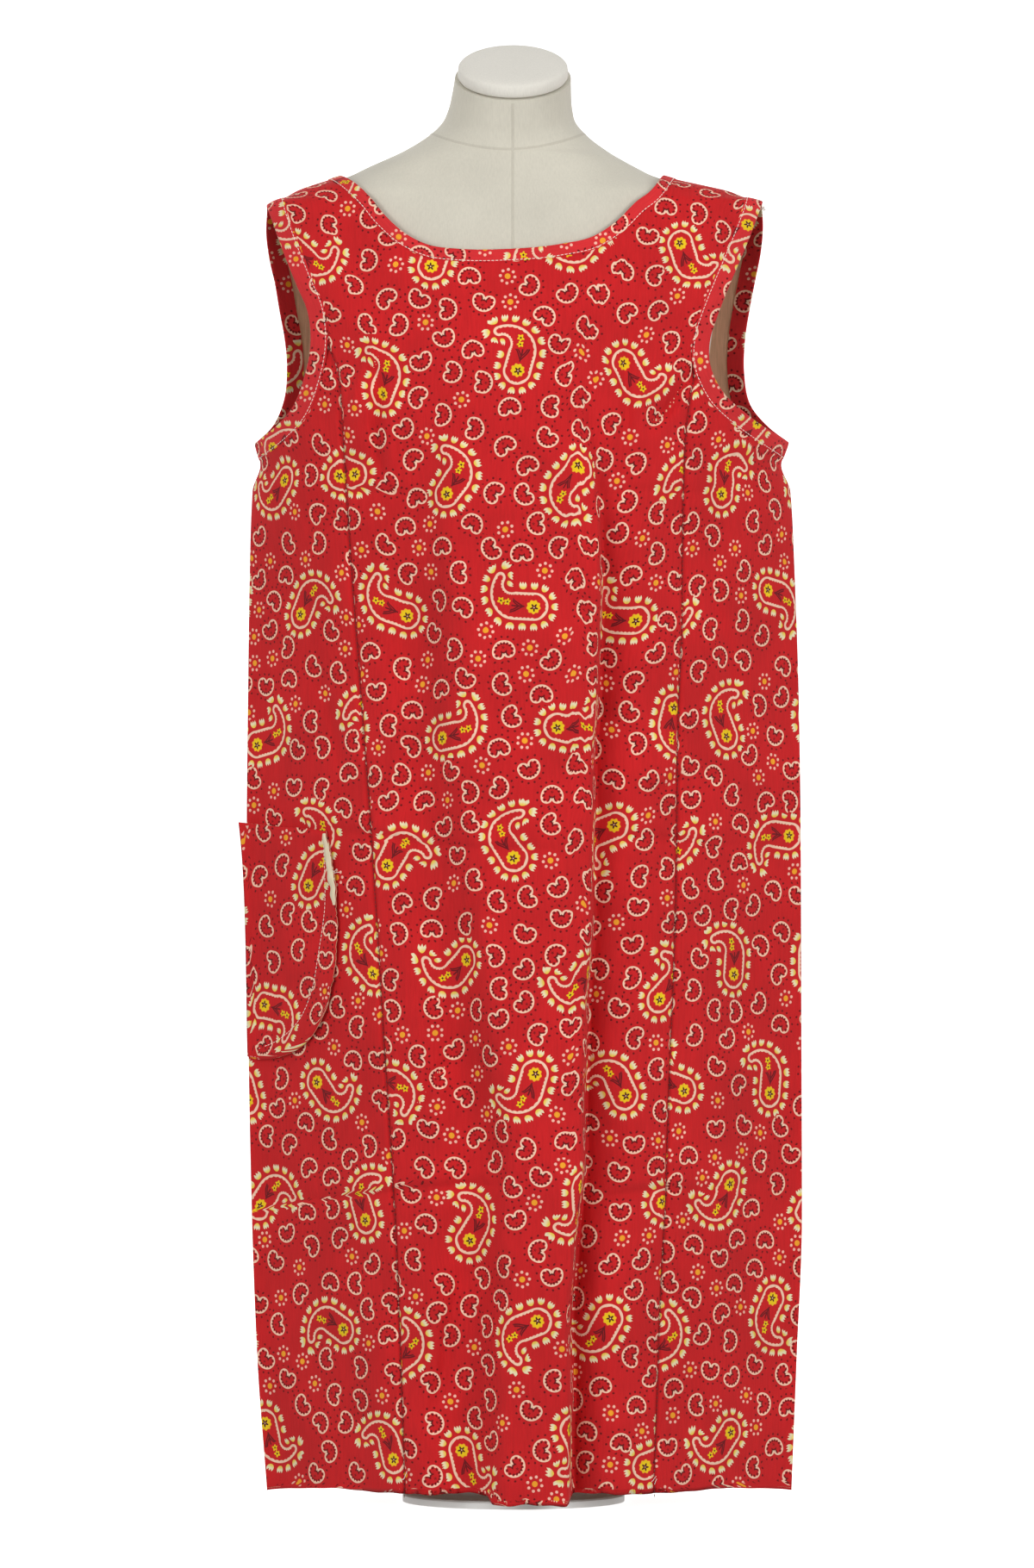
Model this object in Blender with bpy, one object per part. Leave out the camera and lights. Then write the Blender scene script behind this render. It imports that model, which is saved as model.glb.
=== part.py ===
"""A sleeveless shift dress of thin non-woven cloth, standing on a limbless dress form.

Metres, +Z up, front towards -Y. The origin is the middle of the base plate's underside.
The dress is a wall whose outer face is worked out from sections at named heights. Every cut
piece is a patch of that face between its own seams, thickened inwards.
"""

import math

import bmesh
import bpy
import numpy as np

WALL = 0.0015
SEAM_GAP = 0.0003
BAND_WALL = 0.0018
ARMHOLE_BAND = 0.0130
NECK_BAND = 0.0095
POCKET_WALL = 0.0012
POCKET_GAP = 0.0006
POCKET_GAPE = 0.0040
ROUNDNESS = 2.2
HEM_HEIGHT = 0.0080
FRONT_HEM_RISE = 0.0165
BACK_HEM_RISE = 0.0100
PLATE_RADIUS = 0.085
PLATE_THICK = 0.006
POLE_RADIUS = 0.0125
FORM_BOTTOM = 0.330
CAP_TILT = math.radians(23)
CAP_CENTRE = (-0.0005, -0.0172, 1.0885)
CAP_HALF = (0.0425, 0.0505)
CAP_GAP = 0.0003

# Height, half widths to the left and right of the axis, depth in front and behind.
FORM_SECTIONS = (
    # z, left, right, front, back
    (0.330, 0.1380, 0.1380, 0.0760, 0.0760),
    (0.345, 0.1440, 0.1440, 0.0800, 0.0810),
    (0.420, 0.1520, 0.1520, 0.0860, 0.0880),
    (0.480, 0.1510, 0.1510, 0.0880, 0.0880),
    (0.540, 0.1420, 0.1420, 0.0850, 0.0820),
    (0.600, 0.1290, 0.1290, 0.0810, 0.0720),
    (0.650, 0.1220, 0.1220, 0.0830, 0.0670),
    (0.700, 0.1300, 0.1300, 0.0930, 0.0700),
    (0.750, 0.1430, 0.1430, 0.1060, 0.0770),
    (0.790, 0.1460, 0.1460, 0.1110, 0.0830),
    (0.830, 0.1470, 0.1470, 0.1090, 0.0870),
    (0.870, 0.1490, 0.1490, 0.1050, 0.0890),
    (0.910, 0.1550, 0.1550, 0.0980, 0.0880),
    (0.940, 0.1640, 0.1640, 0.0910, 0.0850),
    (0.965, 0.1740, 0.1740, 0.0840, 0.0800),
    (0.982, 0.1785, 0.1795, 0.0790, 0.0760),
    (0.9905, 0.1765, 0.1785, 0.0770, 0.0740),
    (0.9960, 0.1730, 0.1745, 0.0755, 0.0725),
    (0.9995, 0.1670, 0.1660, 0.0745, 0.0710),
    (1.0025, 0.1600, 0.1540, 0.0735, 0.0700),
    (1.0055, 0.1510, 0.1400, 0.0720, 0.0680),
    (1.0080, 0.1430, 0.1285, 0.0710, 0.0670),
    (1.0110, 0.1340, 0.1170, 0.0700, 0.0655),
    (1.0145, 0.1250, 0.1065, 0.0690, 0.0640),
    (1.0210, 0.1115, 0.0935, 0.0675, 0.0610),
    (1.0277, 0.0964, 0.0812, 0.0660, 0.0580),
)
# The neck's rings lean forward. Each lies in a plane that tilts about its centre.
NECK_RINGS = (
    # z, middle x, middle y, half width, half depth, tilt in degrees
    (1.0340, -0.0060, -0.0045, 0.0769, 0.0600, 1.5),
    (1.0410, -0.0050, -0.0060, 0.0660, 0.0575, 3.5),
    (1.0475, -0.0040, -0.0080, 0.0578, 0.0555, 6.0),
    (1.0545, -0.0035, -0.0100, 0.0512, 0.0540, 9.5),
    (1.0640, -0.0025, -0.0125, 0.0475, 0.0530, 14.0),
    (1.0760, -0.0015, -0.0150, 0.0455, 0.0522, 19.0),
    (1.0885, -0.0005, -0.0172, 0.0443, 0.0520, 23.0),
)
# The dress's outer face. Power shapes the side: over 1 it runs flat into a crease, under 1 it is
# round. Seam is half of the way between the front's and the back's outer faces at the side.
DRESS_SECTIONS = (
    # z, left, right, front, back, power, seam
    (0.0080, 0.1890, 0.2130, 0.1100, 0.0920, 1.35, 0.00165),
    (0.1100, 0.1965, 0.2170, 0.1130, 0.0950, 1.35, 0.00165),
    (0.2160, 0.2005, 0.2210, 0.1150, 0.0960, 1.35, 0.00165),
    (0.3740, 0.2035, 0.2205, 0.1140, 0.0970, 1.30, 0.00165),
    (0.5060, 0.2045, 0.2200, 0.1120, 0.0970, 1.25, 0.00165),
    (0.6120, 0.2035, 0.2185, 0.1100, 0.0930, 1.15, 0.00165),
    (0.7175, 0.2020, 0.2150, 0.1120, 0.0900, 0.98, 0.00120),
    (0.7735, 0.2000, 0.2120, 0.1140, 0.0890, 0.80, 0.00045),
    (0.7935, 0.1940, 0.2050, 0.1150, 0.0890, 0.74, 0.00020),
    (0.8100, 0.1980, 0.2105, 0.1150, 0.0900, 0.70, 0.00015),
    (0.8300, 0.1985, 0.2080, 0.1145, 0.0905, 0.66, 0.00015),
    (0.8700, 0.1960, 0.2010, 0.1100, 0.0920, 0.56, 0.00015),
    (0.9100, 0.1955, 0.1980, 0.1025, 0.0915, 0.48, 0.00015),
    (0.9500, 0.1960, 0.1975, 0.0925, 0.0870, 0.4545, 0.00015),
    (0.9750, 0.1950, 0.1965, 0.0855, 0.0820, 0.4545, 0.00015),
    (0.9870, 0.1925, 0.1955, 0.0820, 0.0790, 0.4545, 0.00015),
    (0.9935, 0.1870, 0.1930, 0.0805, 0.0775, 0.4545, 0.00015),
)
# Above these the dress follows the form's shoulders at this distance.
SHOULDER_RISE = 0.0026
SHOULDER_EASE = 0.0010
CHEST_EASE = 0.0030
ARM_TIP = 0.9872
FOLD_FADE = 0.7
HEM_CURVE = 0.8

# Seams and edges, as seen from the front: x and height.
PRINCESS_LEFT = (
    # x, z, from the hem up to the armhole
    (-0.0834, 0.0250), (-0.0868, 0.1330), (-0.0913, 0.2370), (-0.0997, 0.3660),
    (-0.1075, 0.4950), (-0.1171, 0.6250), (-0.1264, 0.7540), (-0.1307, 0.8250),
    (-0.1330, 0.8580), (-0.1440, 0.8860),
)
PRINCESS_RIGHT = (
    # x, z, from the hem up to the armhole
    (0.1074, 0.0250), (0.1127, 0.1720), (0.1159, 0.2370), (0.1191, 0.3340),
    (0.1240, 0.4700), (0.1256, 0.5990), (0.1286, 0.6770), (0.1290, 0.7540),
    (0.1312, 0.8150), (0.1350, 0.8450), (0.1400, 0.8700),
)
ARMHOLE_LEFT_FRONT = (
    # x, z, from the underarm up; the last row is on the shoulder's ridge
    (-0.1980, 0.8100), (-0.1846, 0.8190), (-0.1690, 0.8342), (-0.1590, 0.8580),
    (-0.1540, 0.8850), (-0.1562, 0.9076), (-0.1650, 0.9290), (-0.1762, 0.9570),
    (-0.1830, 0.9760), (-0.1890, 0.9880),
)
ARMHOLE_RIGHT_FRONT = (
    # x, z, from the underarm up; the last row is on the shoulder's ridge
    (0.2105, 0.8110), (0.1935, 0.8200), (0.1756, 0.8318), (0.1580, 0.8480),
    (0.1485, 0.8700), (0.1492, 0.8880), (0.1540, 0.9030), (0.1650, 0.9309),
    (0.1761, 0.9570), (0.1840, 0.9770), (0.1905, 0.9930),
)
ARMHOLE_LEFT_BACK = (
    # x, z, from the underarm up; the last row is on the shoulder's ridge
    (-0.1980, 0.8100), (-0.1850, 0.8240), (-0.1770, 0.8430), (-0.1745, 0.8700),
    (-0.1765, 0.8932), (-0.1800, 0.9120), (-0.1835, 0.9332), (-0.1880, 0.9540),
    (-0.1900, 0.9720), (-0.1890, 0.9880),
)
ARMHOLE_RIGHT_BACK = (
    # x, z, from the underarm up; the last row is on the shoulder's ridge
    (0.2105, 0.8110), (0.1950, 0.8240), (0.1825, 0.8400), (0.1775, 0.8660),
    (0.1782, 0.8906), (0.1822, 0.9170), (0.1862, 0.9380), (0.1900, 0.9580),
    (0.1915, 0.9770), (0.1905, 0.9930),
)
NECKLINE_FRONT = (
    # x, z, from the left ridge down and up to the right ridge
    (-0.1324, 1.0135), (-0.1218, 1.0075), (-0.1100, 0.9960), (-0.0970, 0.9800),
    (-0.0814, 0.9660), (-0.0640, 0.9575), (-0.0425, 0.9545), (0.0000, 0.9545),
    (0.0350, 0.9580), (0.0600, 0.9640), (0.0770, 0.9750), (0.0937, 0.9915),
    (0.1038, 0.9995), (0.1145, 1.0115),
)
NECKLINE_BACK = (
    # x, z, from the left ridge down and up to the right ridge
    (-0.1324, 1.0135), (-0.1180, 1.0060), (-0.0950, 0.9955), (-0.0500, 0.9880),
    (0.0000, 0.9865), (0.0450, 0.9885), (0.0850, 0.9965), (0.1020, 1.0050), (0.1145, 1.0115),
)
# The front's middle stands forward as one long fold between these two edges.
FOLD_EDGES = (
    # z, left edge, right edge, how far it stands forward
    (0.0200, -0.0179, 0.0425, 0.0150),
    (0.1500, -0.0134, 0.0440, 0.0150),
    (0.2700, -0.0115, 0.0525, 0.0140),
    (0.3700, -0.0230, 0.0560, 0.0125),
    (0.5000, -0.0422, 0.0602, 0.0115),
    (0.6250, -0.0560, 0.0634, 0.0125),
    (0.7400, -0.0560, 0.0665, 0.0120),
    (0.7910, -0.0552, 0.0601, 0.0070),
    (0.8360, -0.0549, 0.0537, 0.0020),
    (0.8800, -0.0549, 0.0530, 0.0000),
    (1.0500, -0.0549, 0.0530, 0.0000),
)
FOLD_SOFT_LEFT = 0.0090
FOLD_SOFT_RIGHT = 0.0050
VALLEY = 0.0060
VALLEY_OFFSET = 0.0140
VALLEY_HALF = 0.0080
# Smaller folds and hollows in front and behind.
DENTS = (
    # x, z, half width, half height, turn in degrees, depth
    (-0.088, 0.770, 0.0200, 0.0550, 0, -0.0050),
    (-0.106, 0.852, 0.0060, 0.0350, -25, 0.0040),
    (0.112, 0.835, 0.0070, 0.0400, 40, -0.0035),
)
BACK_FOLDS = (
    # x, half width, height at the hem, and the height z where it dies out
    (-0.100, 0.0220, 0.0070, 0.640),
    (-0.020, 0.0260, 0.0060, 0.700),
    (0.085, 0.0240, 0.0075, 0.620),
)
POCKET_TOP = 0.5200
POCKET_BOTTOM = 0.3380
POCKET_RIGHT = (
    # x, z, down the free edge and round to the side seam
    (-0.1415, 0.5130), (-0.1350, 0.4850), (-0.1325, 0.4550), (-0.1340, 0.4100),
    (-0.1400, 0.3800), (-0.1500, 0.3590), (-0.1640, 0.3460), (-0.1790, 0.3400),
    (-0.1960, 0.3380),
)

COLOURS = {
    # name: linear colour, roughness, metallic
    "printed_cloth": ((0.52, 0.016, 0.028, 1.0), 0.75, 0.0),
    "form_cover": ((0.74, 0.72, 0.66, 1.0), 0.70, 0.0),
    "painted_steel": ((0.75, 0.74, 0.70, 1.0), 0.40, 0.0),
}


def clear_scene():
    for obj in list(bpy.data.objects):
        bpy.data.objects.remove(obj, do_unlink=True)


def material(name):
    found = bpy.data.materials.get(name)
    if found:
        return found
    made = bpy.data.materials.new(name)
    made.use_nodes = True
    shader = made.node_tree.nodes["Principled BSDF"]
    colour, roughness, metallic = COLOURS[name]
    shader.inputs["Base Color"].default_value = colour
    shader.inputs["Roughness"].default_value = roughness
    shader.inputs["Metallic"].default_value = metallic
    return made


def cubic(xs, ys, slopes, at):
    """A cubic through the rows with the given slopes, held level past both ends."""
    at = np.clip(at, xs[0], xs[-1])
    step = np.diff(xs)
    i = np.clip(np.searchsorted(xs, at, side="right") - 1, 0, len(xs) - 2)
    t = (at - xs[i]) / step[i]
    return (
        ys[i] * (1 + 2 * t) * (1 - t) ** 2
        + slopes[i] * step[i] * t * (1 - t) ** 2
        + ys[i + 1] * t * t * (3 - 2 * t)
        + slopes[i + 1] * step[i] * t * t * (t - 1)
    )


def smooth_column(xs, ys, at):
    """A cubic through the rows that never overshoots them."""
    xs, ys = np.asarray(xs, float), np.asarray(ys, float)
    run = np.diff(ys) / np.diff(xs)
    before, after = run[:-1], run[1:]
    same_way = before * after > 0
    inner = np.where(same_way, 2 * before * after / (before + after + 1e-30), 0)
    return cubic(xs, ys, np.concatenate([run[:1], inner, run[-1:]]), at)


def smooth_line(xs, ys, at):
    """A cubic through the rows with averaged slopes, which may overshoot a little."""
    xs, ys = np.asarray(xs, float), np.asarray(ys, float)
    return cubic(xs, ys, np.gradient(ys, xs), at)


def column(table, index):
    return [row[index] for row in table]


def at_height(table, index, z):
    return smooth_column(column(table, 0), column(table, index), z)


def with_shoulders(sections):
    """The dress's sections, and above them the form's shoulders moved out."""
    last = sections[-1]
    above = []
    for z, left, right, front, back in FORM_SECTIONS:
        if z + SHOULDER_RISE > last[0] + SHOULDER_EASE:
            wide = (left + SHOULDER_EASE, right + SHOULDER_EASE)
            deep = (front + CHEST_EASE, back + CHEST_EASE)
            above.append((z + SHOULDER_RISE,) + wide + deep + last[5:])
    return sections + tuple(above)


DRESS = with_shoulders(DRESS_SECTIONS)


def half_width(x, z):
    return np.where(x < 0, at_height(DRESS, 1, z), at_height(DRESS, 2, z))


def soft_step(x, at, width):
    return 0.5 + 0.5 * np.tanh((x - at) / width)


def front_fold(x, z):
    """How far the front stands out from its plain section."""
    left, right = at_height(FOLD_EDGES, 1, z), at_height(FOLD_EDGES, 2, z)
    rise = at_height(FOLD_EDGES, 3, z)
    ridge = soft_step(x, left, FOLD_SOFT_LEFT) - soft_step(x, right, FOLD_SOFT_RIGHT)
    valley = np.exp(-(((x - right - VALLEY_OFFSET) / VALLEY_HALF) ** 2))
    out = rise * ridge - VALLEY * (rise / FOLD_EDGES[0][3]) * valley
    for middle_x, middle_z, wide, high, turn, depth in DENTS:
        angle = math.radians(turn)
        across = (x - middle_x) * math.cos(angle) + (z - middle_z) * math.sin(angle)
        along = (z - middle_z) * math.cos(angle) - (x - middle_x) * math.sin(angle)
        out = out + depth * np.exp(-((across / wide) ** 2) - (along / high) ** 2)
    return out


def back_fold(x, z):
    out = np.zeros_like(x * z)
    for middle, wide, height, top in BACK_FOLDS:
        fade = np.clip((top - z) / top, 0, 1)
        out = out + height * fade * np.exp(-(((x - middle * (0.8 + 0.2 * fade)) / wide) ** 2))
    return out


def depth_at(x, z, side):
    """The outer face's distance from the plane y = 0. Side is -1 in front and +1 behind."""
    reach = np.clip(np.abs(x) / half_width(x, z), 0, 1) ** ROUNDNESS
    deep = at_height(DRESS, 3 if side < 0 else 4, z)
    body = deep * (1 - reach) ** at_height(DRESS, 5, z)
    fold = front_fold(x, z) if side < 0 else back_fold(x, z)
    return at_height(DRESS, 6, z) + body + fold * (1 - reach) ** FOLD_FADE


def outside_value(x, y, z, side):
    """Grows outwards through the face, so that its slope there is the way out."""
    deep = at_height(DRESS, 3 if side < 0 else 4, z)
    power = at_height(DRESS, 5, z)
    reach = (np.abs(x) / half_width(x, z)) ** ROUNDNESS
    fold = front_fold(x, z) if side < 0 else back_fold(x, z)
    fold = fold * np.clip(1 - reach, 0, 1) ** FOLD_FADE
    rest = np.clip(side * y - at_height(DRESS, 6, z) - fold, 0, None)
    return reach + (rest / deep) ** (1 / power)


def outward(x, y, z, side):
    small = 0.0003
    here = np.array([x, y, z])

    def value(*step):
        return outside_value(*(here + np.array(step).reshape((3,) + (1,) * x.ndim)), side)

    slope = np.stack(
        [
            value(small, 0, 0) - value(-small, 0, 0),
            value(0, small, 0) - value(0, -small, 0),
            value(0, 0, small) - value(0, 0, -small),
        ],
        axis=-1,
    )
    slope[..., 1] = side * np.maximum(side * slope[..., 1], 1e-9)
    return slope / np.linalg.norm(slope, axis=-1, keepdims=True)


def on_face(plan, side, out=0.0):
    """Points of the dress's outer face above points of the front view, moved out by a distance."""
    x, z = plan[..., 0], plan[..., 1]
    y = side * depth_at(x, z, side)
    points = np.stack([x, y, z], axis=-1)
    out = np.asarray(out)
    return points + outward(x, y, z, side) * (out[..., None] if out.ndim else out)


def along(rows, parts):
    """Points at the given shares of the length of a smooth line through the rows."""
    rows = np.asarray(rows, float)
    length = np.concatenate([[0], np.cumsum(np.linalg.norm(np.diff(rows, axis=0), axis=1))])
    at = np.asarray(parts) * length[-1]
    return np.stack([smooth_line(length, rows[:, k], at) for k in range(rows.shape[1])], axis=-1)


def ridge_height(x):
    """The height of the shoulder's ridge at x, where the front meets the back."""
    high = np.linspace(ARM_TIP, DRESS[-1][0], FINE)
    side = 1 if x < 0 else 2
    wide = at_height(DRESS, side, high)
    return float(np.interp(-abs(x), -wide, high))


def on_ridge(x):
    return np.array([x, ridge_height(x)])


def edge_line(rows, parts, ridge_ends=(False, True)):
    """An edge of the cloth in the front view, with its named ends put on the shoulder's ridge."""
    rows = [np.array(row) for row in rows]
    if ridge_ends[0]:
        rows[0] = on_ridge(rows[0][0])
    if ridge_ends[1]:
        rows[-1] = on_ridge(rows[-1][0])
    return along(rows, parts)


def moved_in(line, width, into, ridge_ends=(False, True), fade=0.012):
    """A line beside an edge, towards the cloth. Its ends on the ridge stay on the ridge."""
    run = np.gradient(line, axis=0)
    run /= np.linalg.norm(run, axis=1, keepdims=True)
    normal = np.stack([-run[:, 1], run[:, 0]], axis=-1) * into
    moved = line + normal * width
    length = np.concatenate([[0], np.cumsum(np.linalg.norm(np.diff(line, axis=0), axis=1))])
    for end, at_end in ((0, ridge_ends[0]), (-1, ridge_ends[1])):
        if not at_end:
            continue
        near = np.exp(-((np.abs(length - length[end]) / fade) ** 2))[:, None]
        step_x = width * np.sign(moved[end, 0] - line[end, 0])
        target = on_ridge(line[end, 0] + step_x)
        moved = moved + near * (target - moved[end])
    if not ridge_ends[0]:
        near = np.exp(-((length / fade) ** 2))[:, None]
        height = line[0, 1] - width
        sign = np.sign(line[0, 0])
        target = side_line(sign, np.array([height]))[0]
        moved = moved + near * (target - moved[0])
    return moved


def patch(left, right, bottom, top, across, low, high):
    """Rows of plan points between four edges. Low and high are each row's share of the ends' shape."""
    across = np.asarray(across)[None, :, None]
    rows = left[:, None, :] * (1 - across) + right[:, None, :] * across
    return rows + low[:, None, None] * (bottom - rows[0]) + high[:, None, None] * (top - rows[-1])


def rise_share(line, power, start=0):
    """0 up to the row called start, then growing to 1 at the line's last row."""
    share = (line[:, 1] - line[start, 1]) / (line[-1, 1] - line[start, 1])
    return np.clip(share, 0, 1) ** power


def fall_share(line, power):
    return (1 - rise_share(line, 1)) ** power


def wall_faces(quad, points, shift):
    """Two triangles on each side of the wall, cut along the same, shorter diagonal."""
    a, b, c, d = quad
    if np.linalg.norm(points[a] - points[c]) > np.linalg.norm(points[b] - points[d]):
        a, b, c, d = b, c, d, a
    halves = ((a, b, c), (a, c, d))
    return list(halves) + [tuple(shift + k for k in reversed(half)) for half in halves]


def wall_mesh(name, outer, inner, closed=False):
    """A closed wall between two grids of points. Closed joins the last row to the first."""
    rows, columns = outer.shape[:2]
    points = np.concatenate([outer.reshape(-1, 3), inner.reshape(-1, 3)])
    shift = rows * columns

    def index(r, c):
        return (r % rows) * columns + c

    faces = []
    last_row = rows if closed else rows - 1
    for r in range(last_row):
        for c in range(columns - 1):
            quad = (index(r, c), index(r, c + 1), index(r + 1, c + 1), index(r + 1, c))
            faces += wall_faces(quad, points, shift)
        for c, turn in ((0, False), (columns - 1, True)):
            side = (index(r, c), index(r + 1, c), shift + index(r + 1, c), shift + index(r, c))
            faces.append(tuple(reversed(side)) if turn else side)
    if not closed:
        for c in range(columns - 1):
            for r, turn in ((0, True), (rows - 1, False)):
                side = (index(r, c), index(r, c + 1), shift + index(r, c + 1), shift + index(r, c))
                faces.append(side if not turn else tuple(reversed(side)))
    return closed_object(name, points, faces)


def closed_object(name, points, faces):
    mesh = bpy.data.meshes.new(name)
    mesh.from_pydata([tuple(map(float, p)) for p in points], [], faces)
    work = bmesh.new()
    work.from_mesh(mesh)
    bmesh.ops.recalc_face_normals(work, faces=work.faces)
    if work.calc_volume(signed=True) < 0:
        bmesh.ops.reverse_faces(work, faces=work.faces)
    work.to_mesh(mesh)
    work.free()
    mesh.shade_smooth()
    mesh.set_sharp_from_angle(angle=math.radians(50))
    obj = bpy.data.objects.new(name, mesh)
    bpy.context.scene.collection.objects.link(obj)
    return obj


def dressed(obj, finish):
    obj.data.materials.append(material(finish))
    return obj


def hem_line(x_left, x_right, across, side):
    """The hem rises from the sides to the middle, where the figure pushes the cloth out."""
    x = x_left + (x_right - x_left) * np.asarray(across)
    share = np.clip(np.abs(x) / half_width(x, np.full_like(x, HEM_HEIGHT)), 0, 1)
    rise = FRONT_HEM_RISE if side < 0 else BACK_HEM_RISE
    z = HEM_HEIGHT + rise * (1 - share**2) ** HEM_CURVE
    return np.stack([x, z], axis=-1)


def side_line(sign, heights):
    x = at_height(DRESS, 1 if sign < 0 else 2, heights) * sign
    return np.stack([x, heights], axis=-1)


def seam_line(rows, heights, gap):
    """A seam in the front view at the given heights, moved aside by half of its gap."""
    x = smooth_column(column(rows, 1), column(rows, 0), heights) + gap
    return np.stack([x, heights], axis=-1)


def armhole_lines(rows, into):
    """The armhole's edge, the inside of its band, and the panel's end 0.3 mm further in."""
    edge = edge_line(rows, np.linspace(0, 1, FINE))
    return edge, moved_in(edge, ARMHOLE_BAND, into), moved_in(edge, ARMHOLE_BAND + SEAM_GAP, into)


def neck_lines(rows):
    """The neckline's edge, the inside of its band, and the panel's end 0.3 mm further in."""
    both = (True, True)
    edge = edge_line(rows, np.linspace(0, 1, FINE), both)
    inner = moved_in(edge, NECK_BAND, -1, both)
    return edge, inner, moved_in(edge, NECK_BAND + SEAM_GAP, -1, both)


def pick(line, shares):
    """Points of a line at shares of its own count, so that lines side by side stay in step."""
    own = np.linspace(0, 1, len(line))
    return np.stack([np.interp(shares, own, line[:, k]) for k in (0, 1)], axis=-1)


def seam_share(seam_rows, arm):
    """Where along the armhole the long seam ends."""
    top = np.array(seam_rows[-1])
    return int(np.argmin(np.linalg.norm(arm - top, axis=1))) / (len(arm) - 1)


SKIRT_ROWS = (0.0, 0.045, 0.10, 0.155, 0.21, 0.235, 0.26, 0.32, 0.38, 0.44, 0.485, 0.51, 0.54, 0.60,
              0.65, 0.70, 0.74, 0.775, 0.805, 0.835, 0.862)
CENTRE_COLUMNS = (0.0, 0.055, 0.11, 0.16, 0.1635, 0.171, 0.184, 0.205, 0.24, 0.28, 0.31, 0.335, 0.36,
                  0.41, 0.47, 0.53, 0.59, 0.635, 0.66, 0.675, 0.69, 0.705, 0.725, 0.76, 0.795, 0.816,
                  0.829, 0.8365, 0.84, 0.89, 0.945, 1.0)
BACK_COLUMNS = (0.0, 0.04, 0.08, 0.12, 0.16, 0.1635, 0.171, 0.184, 0.21, 0.25, 0.30, 0.35, 0.40, 0.45, 0.50,
                0.55, 0.60, 0.65, 0.70, 0.75, 0.79, 0.816, 0.829, 0.8365, 0.84, 0.88, 0.92, 0.96, 1.0)
STRAP_SHARE = 0.16
ARM_STEPS = (0.0, 0.10, 0.21, 0.33, 0.45, 0.57, 0.68, 0.78, 0.87, 0.945, 1.0)
BACK_ARM_STEPS = (0.0, 0.02, 0.05, 0.10, 0.17, 0.26, 0.36, 0.47, 0.58, 0.69, 0.79, 0.88, 0.95, 1.0)
SIDE_COLUMNS = 9
FINE = 400


def neck_shares(across):
    inside = [c for c in across if STRAP_SHARE <= c <= 1 - STRAP_SHARE]
    return (np.array(inside) - STRAP_SHARE) / (1 - 2 * STRAP_SHARE)


def top_line(neckline, left_ridge, right_ridge, across):
    """The panel's top: shoulder, inside of the neck band, shoulder."""
    inner = pick(neck_lines(neckline)[2], neck_shares(across))
    left = [c / STRAP_SHARE for c in across if c < STRAP_SHARE]
    right = [1 - (1 - c) / STRAP_SHARE for c in across if c > 1 - STRAP_SHARE]
    left_end, right_end = inner[0, 0], inner[-1, 0]
    shoulders = (
        [on_ridge(left_ridge + (left_end - left_ridge) * share) for share in left],
        [on_ridge(right_end + (right_ridge - right_end) * share) for share in right],
    )
    return np.concatenate([shoulders[0], inner, shoulders[1]])


def wall_rows(plan, side, wall=WALL, out=0.0):
    outer = on_face(plan, side, out)
    inner = on_face(plan, side, np.asarray(out) - wall)
    return outer, inner


def climb(arm, start, steps):
    """Shares of an armhole line whose heights crowd towards the ridge, where the cloth turns over."""
    own = np.linspace(0, 1, len(arm))
    low, high = np.interp(start, own, arm[:, 1]), arm[-1, 1]
    heights = low + (high - low) * (1 - (1 - np.array(steps)) ** 2)
    above = own >= start
    shares = np.interp(heights, arm[above, 1], own[above])
    shares[0] = start
    return shares


def skirt_heights(top):
    return HEM_HEIGHT + (top - HEM_HEIGHT) * np.array(SKIRT_ROWS) / SKIRT_ROWS[-1]


def long_seam(seam_rows, arm, gap):
    """A long seam from the hem to the armhole, and the armhole's share where it ends."""
    share = seam_share(seam_rows, arm)
    end = pick(arm, [share])[0]
    line = seam_line(list(seam_rows[:-1]) + [tuple(end)], skirt_heights(end[1]), gap)
    return line, share


def centre_edge(seam_rows, armhole_rows, into, gap):
    """The centre panel's long edge: up the seam, then inside the armhole's band."""
    arm = armhole_lines(armhole_rows, into)[2]
    seam, share = long_seam(seam_rows, arm, gap)
    return np.concatenate([seam, pick(arm, climb(arm, share, ARM_STEPS)[1:])])


def centre_panel():
    left = centre_edge(PRINCESS_LEFT, ARMHOLE_LEFT_FRONT, -1, SEAM_GAP / 2)
    right = centre_edge(PRINCESS_RIGHT, ARMHOLE_RIGHT_FRONT, 1, -SEAM_GAP / 2)
    bottom = hem_line(left[0, 0], right[0, 0], CENTRE_COLUMNS, -1)
    left[0], right[0] = bottom[0], bottom[-1]
    top = top_line(NECKLINE_FRONT, left[-1, 0], right[-1, 0], CENTRE_COLUMNS)
    high = rise_share(left, 1, len(SKIRT_ROWS) - 1)
    plan = patch(left, right, bottom, top, CENTRE_COLUMNS, fall_share(left, 6), high)
    return dressed(wall_mesh("front_centre", *wall_rows(plan, -1)), "printed_cloth")


def side_panel(name, sign, seam_rows, armhole_rows, into):
    """From the long seam out to the side, and up to the inside of the armhole's band."""
    arm = armhole_lines(armhole_rows, into)[2]
    seam, share = long_seam(seam_rows, arm, SEAM_GAP / 2 * sign)
    across = np.linspace(0, 1, SIDE_COLUMNS)
    top = pick(arm, share * (1 - across))
    top[0] = seam[-1]
    side = side_line(sign, skirt_heights(top[-1, 1]))
    side[-1] = top[-1]
    bottom = hem_line(seam[0, 0], side[0, 0], across, -1)
    seam[0] = bottom[0]
    plan = patch(seam, side, bottom, top, across, fall_share(seam, 6), rise_share(seam, 5))
    return dressed(wall_mesh(name, *wall_rows(plan, -1)), "printed_cloth")


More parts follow.
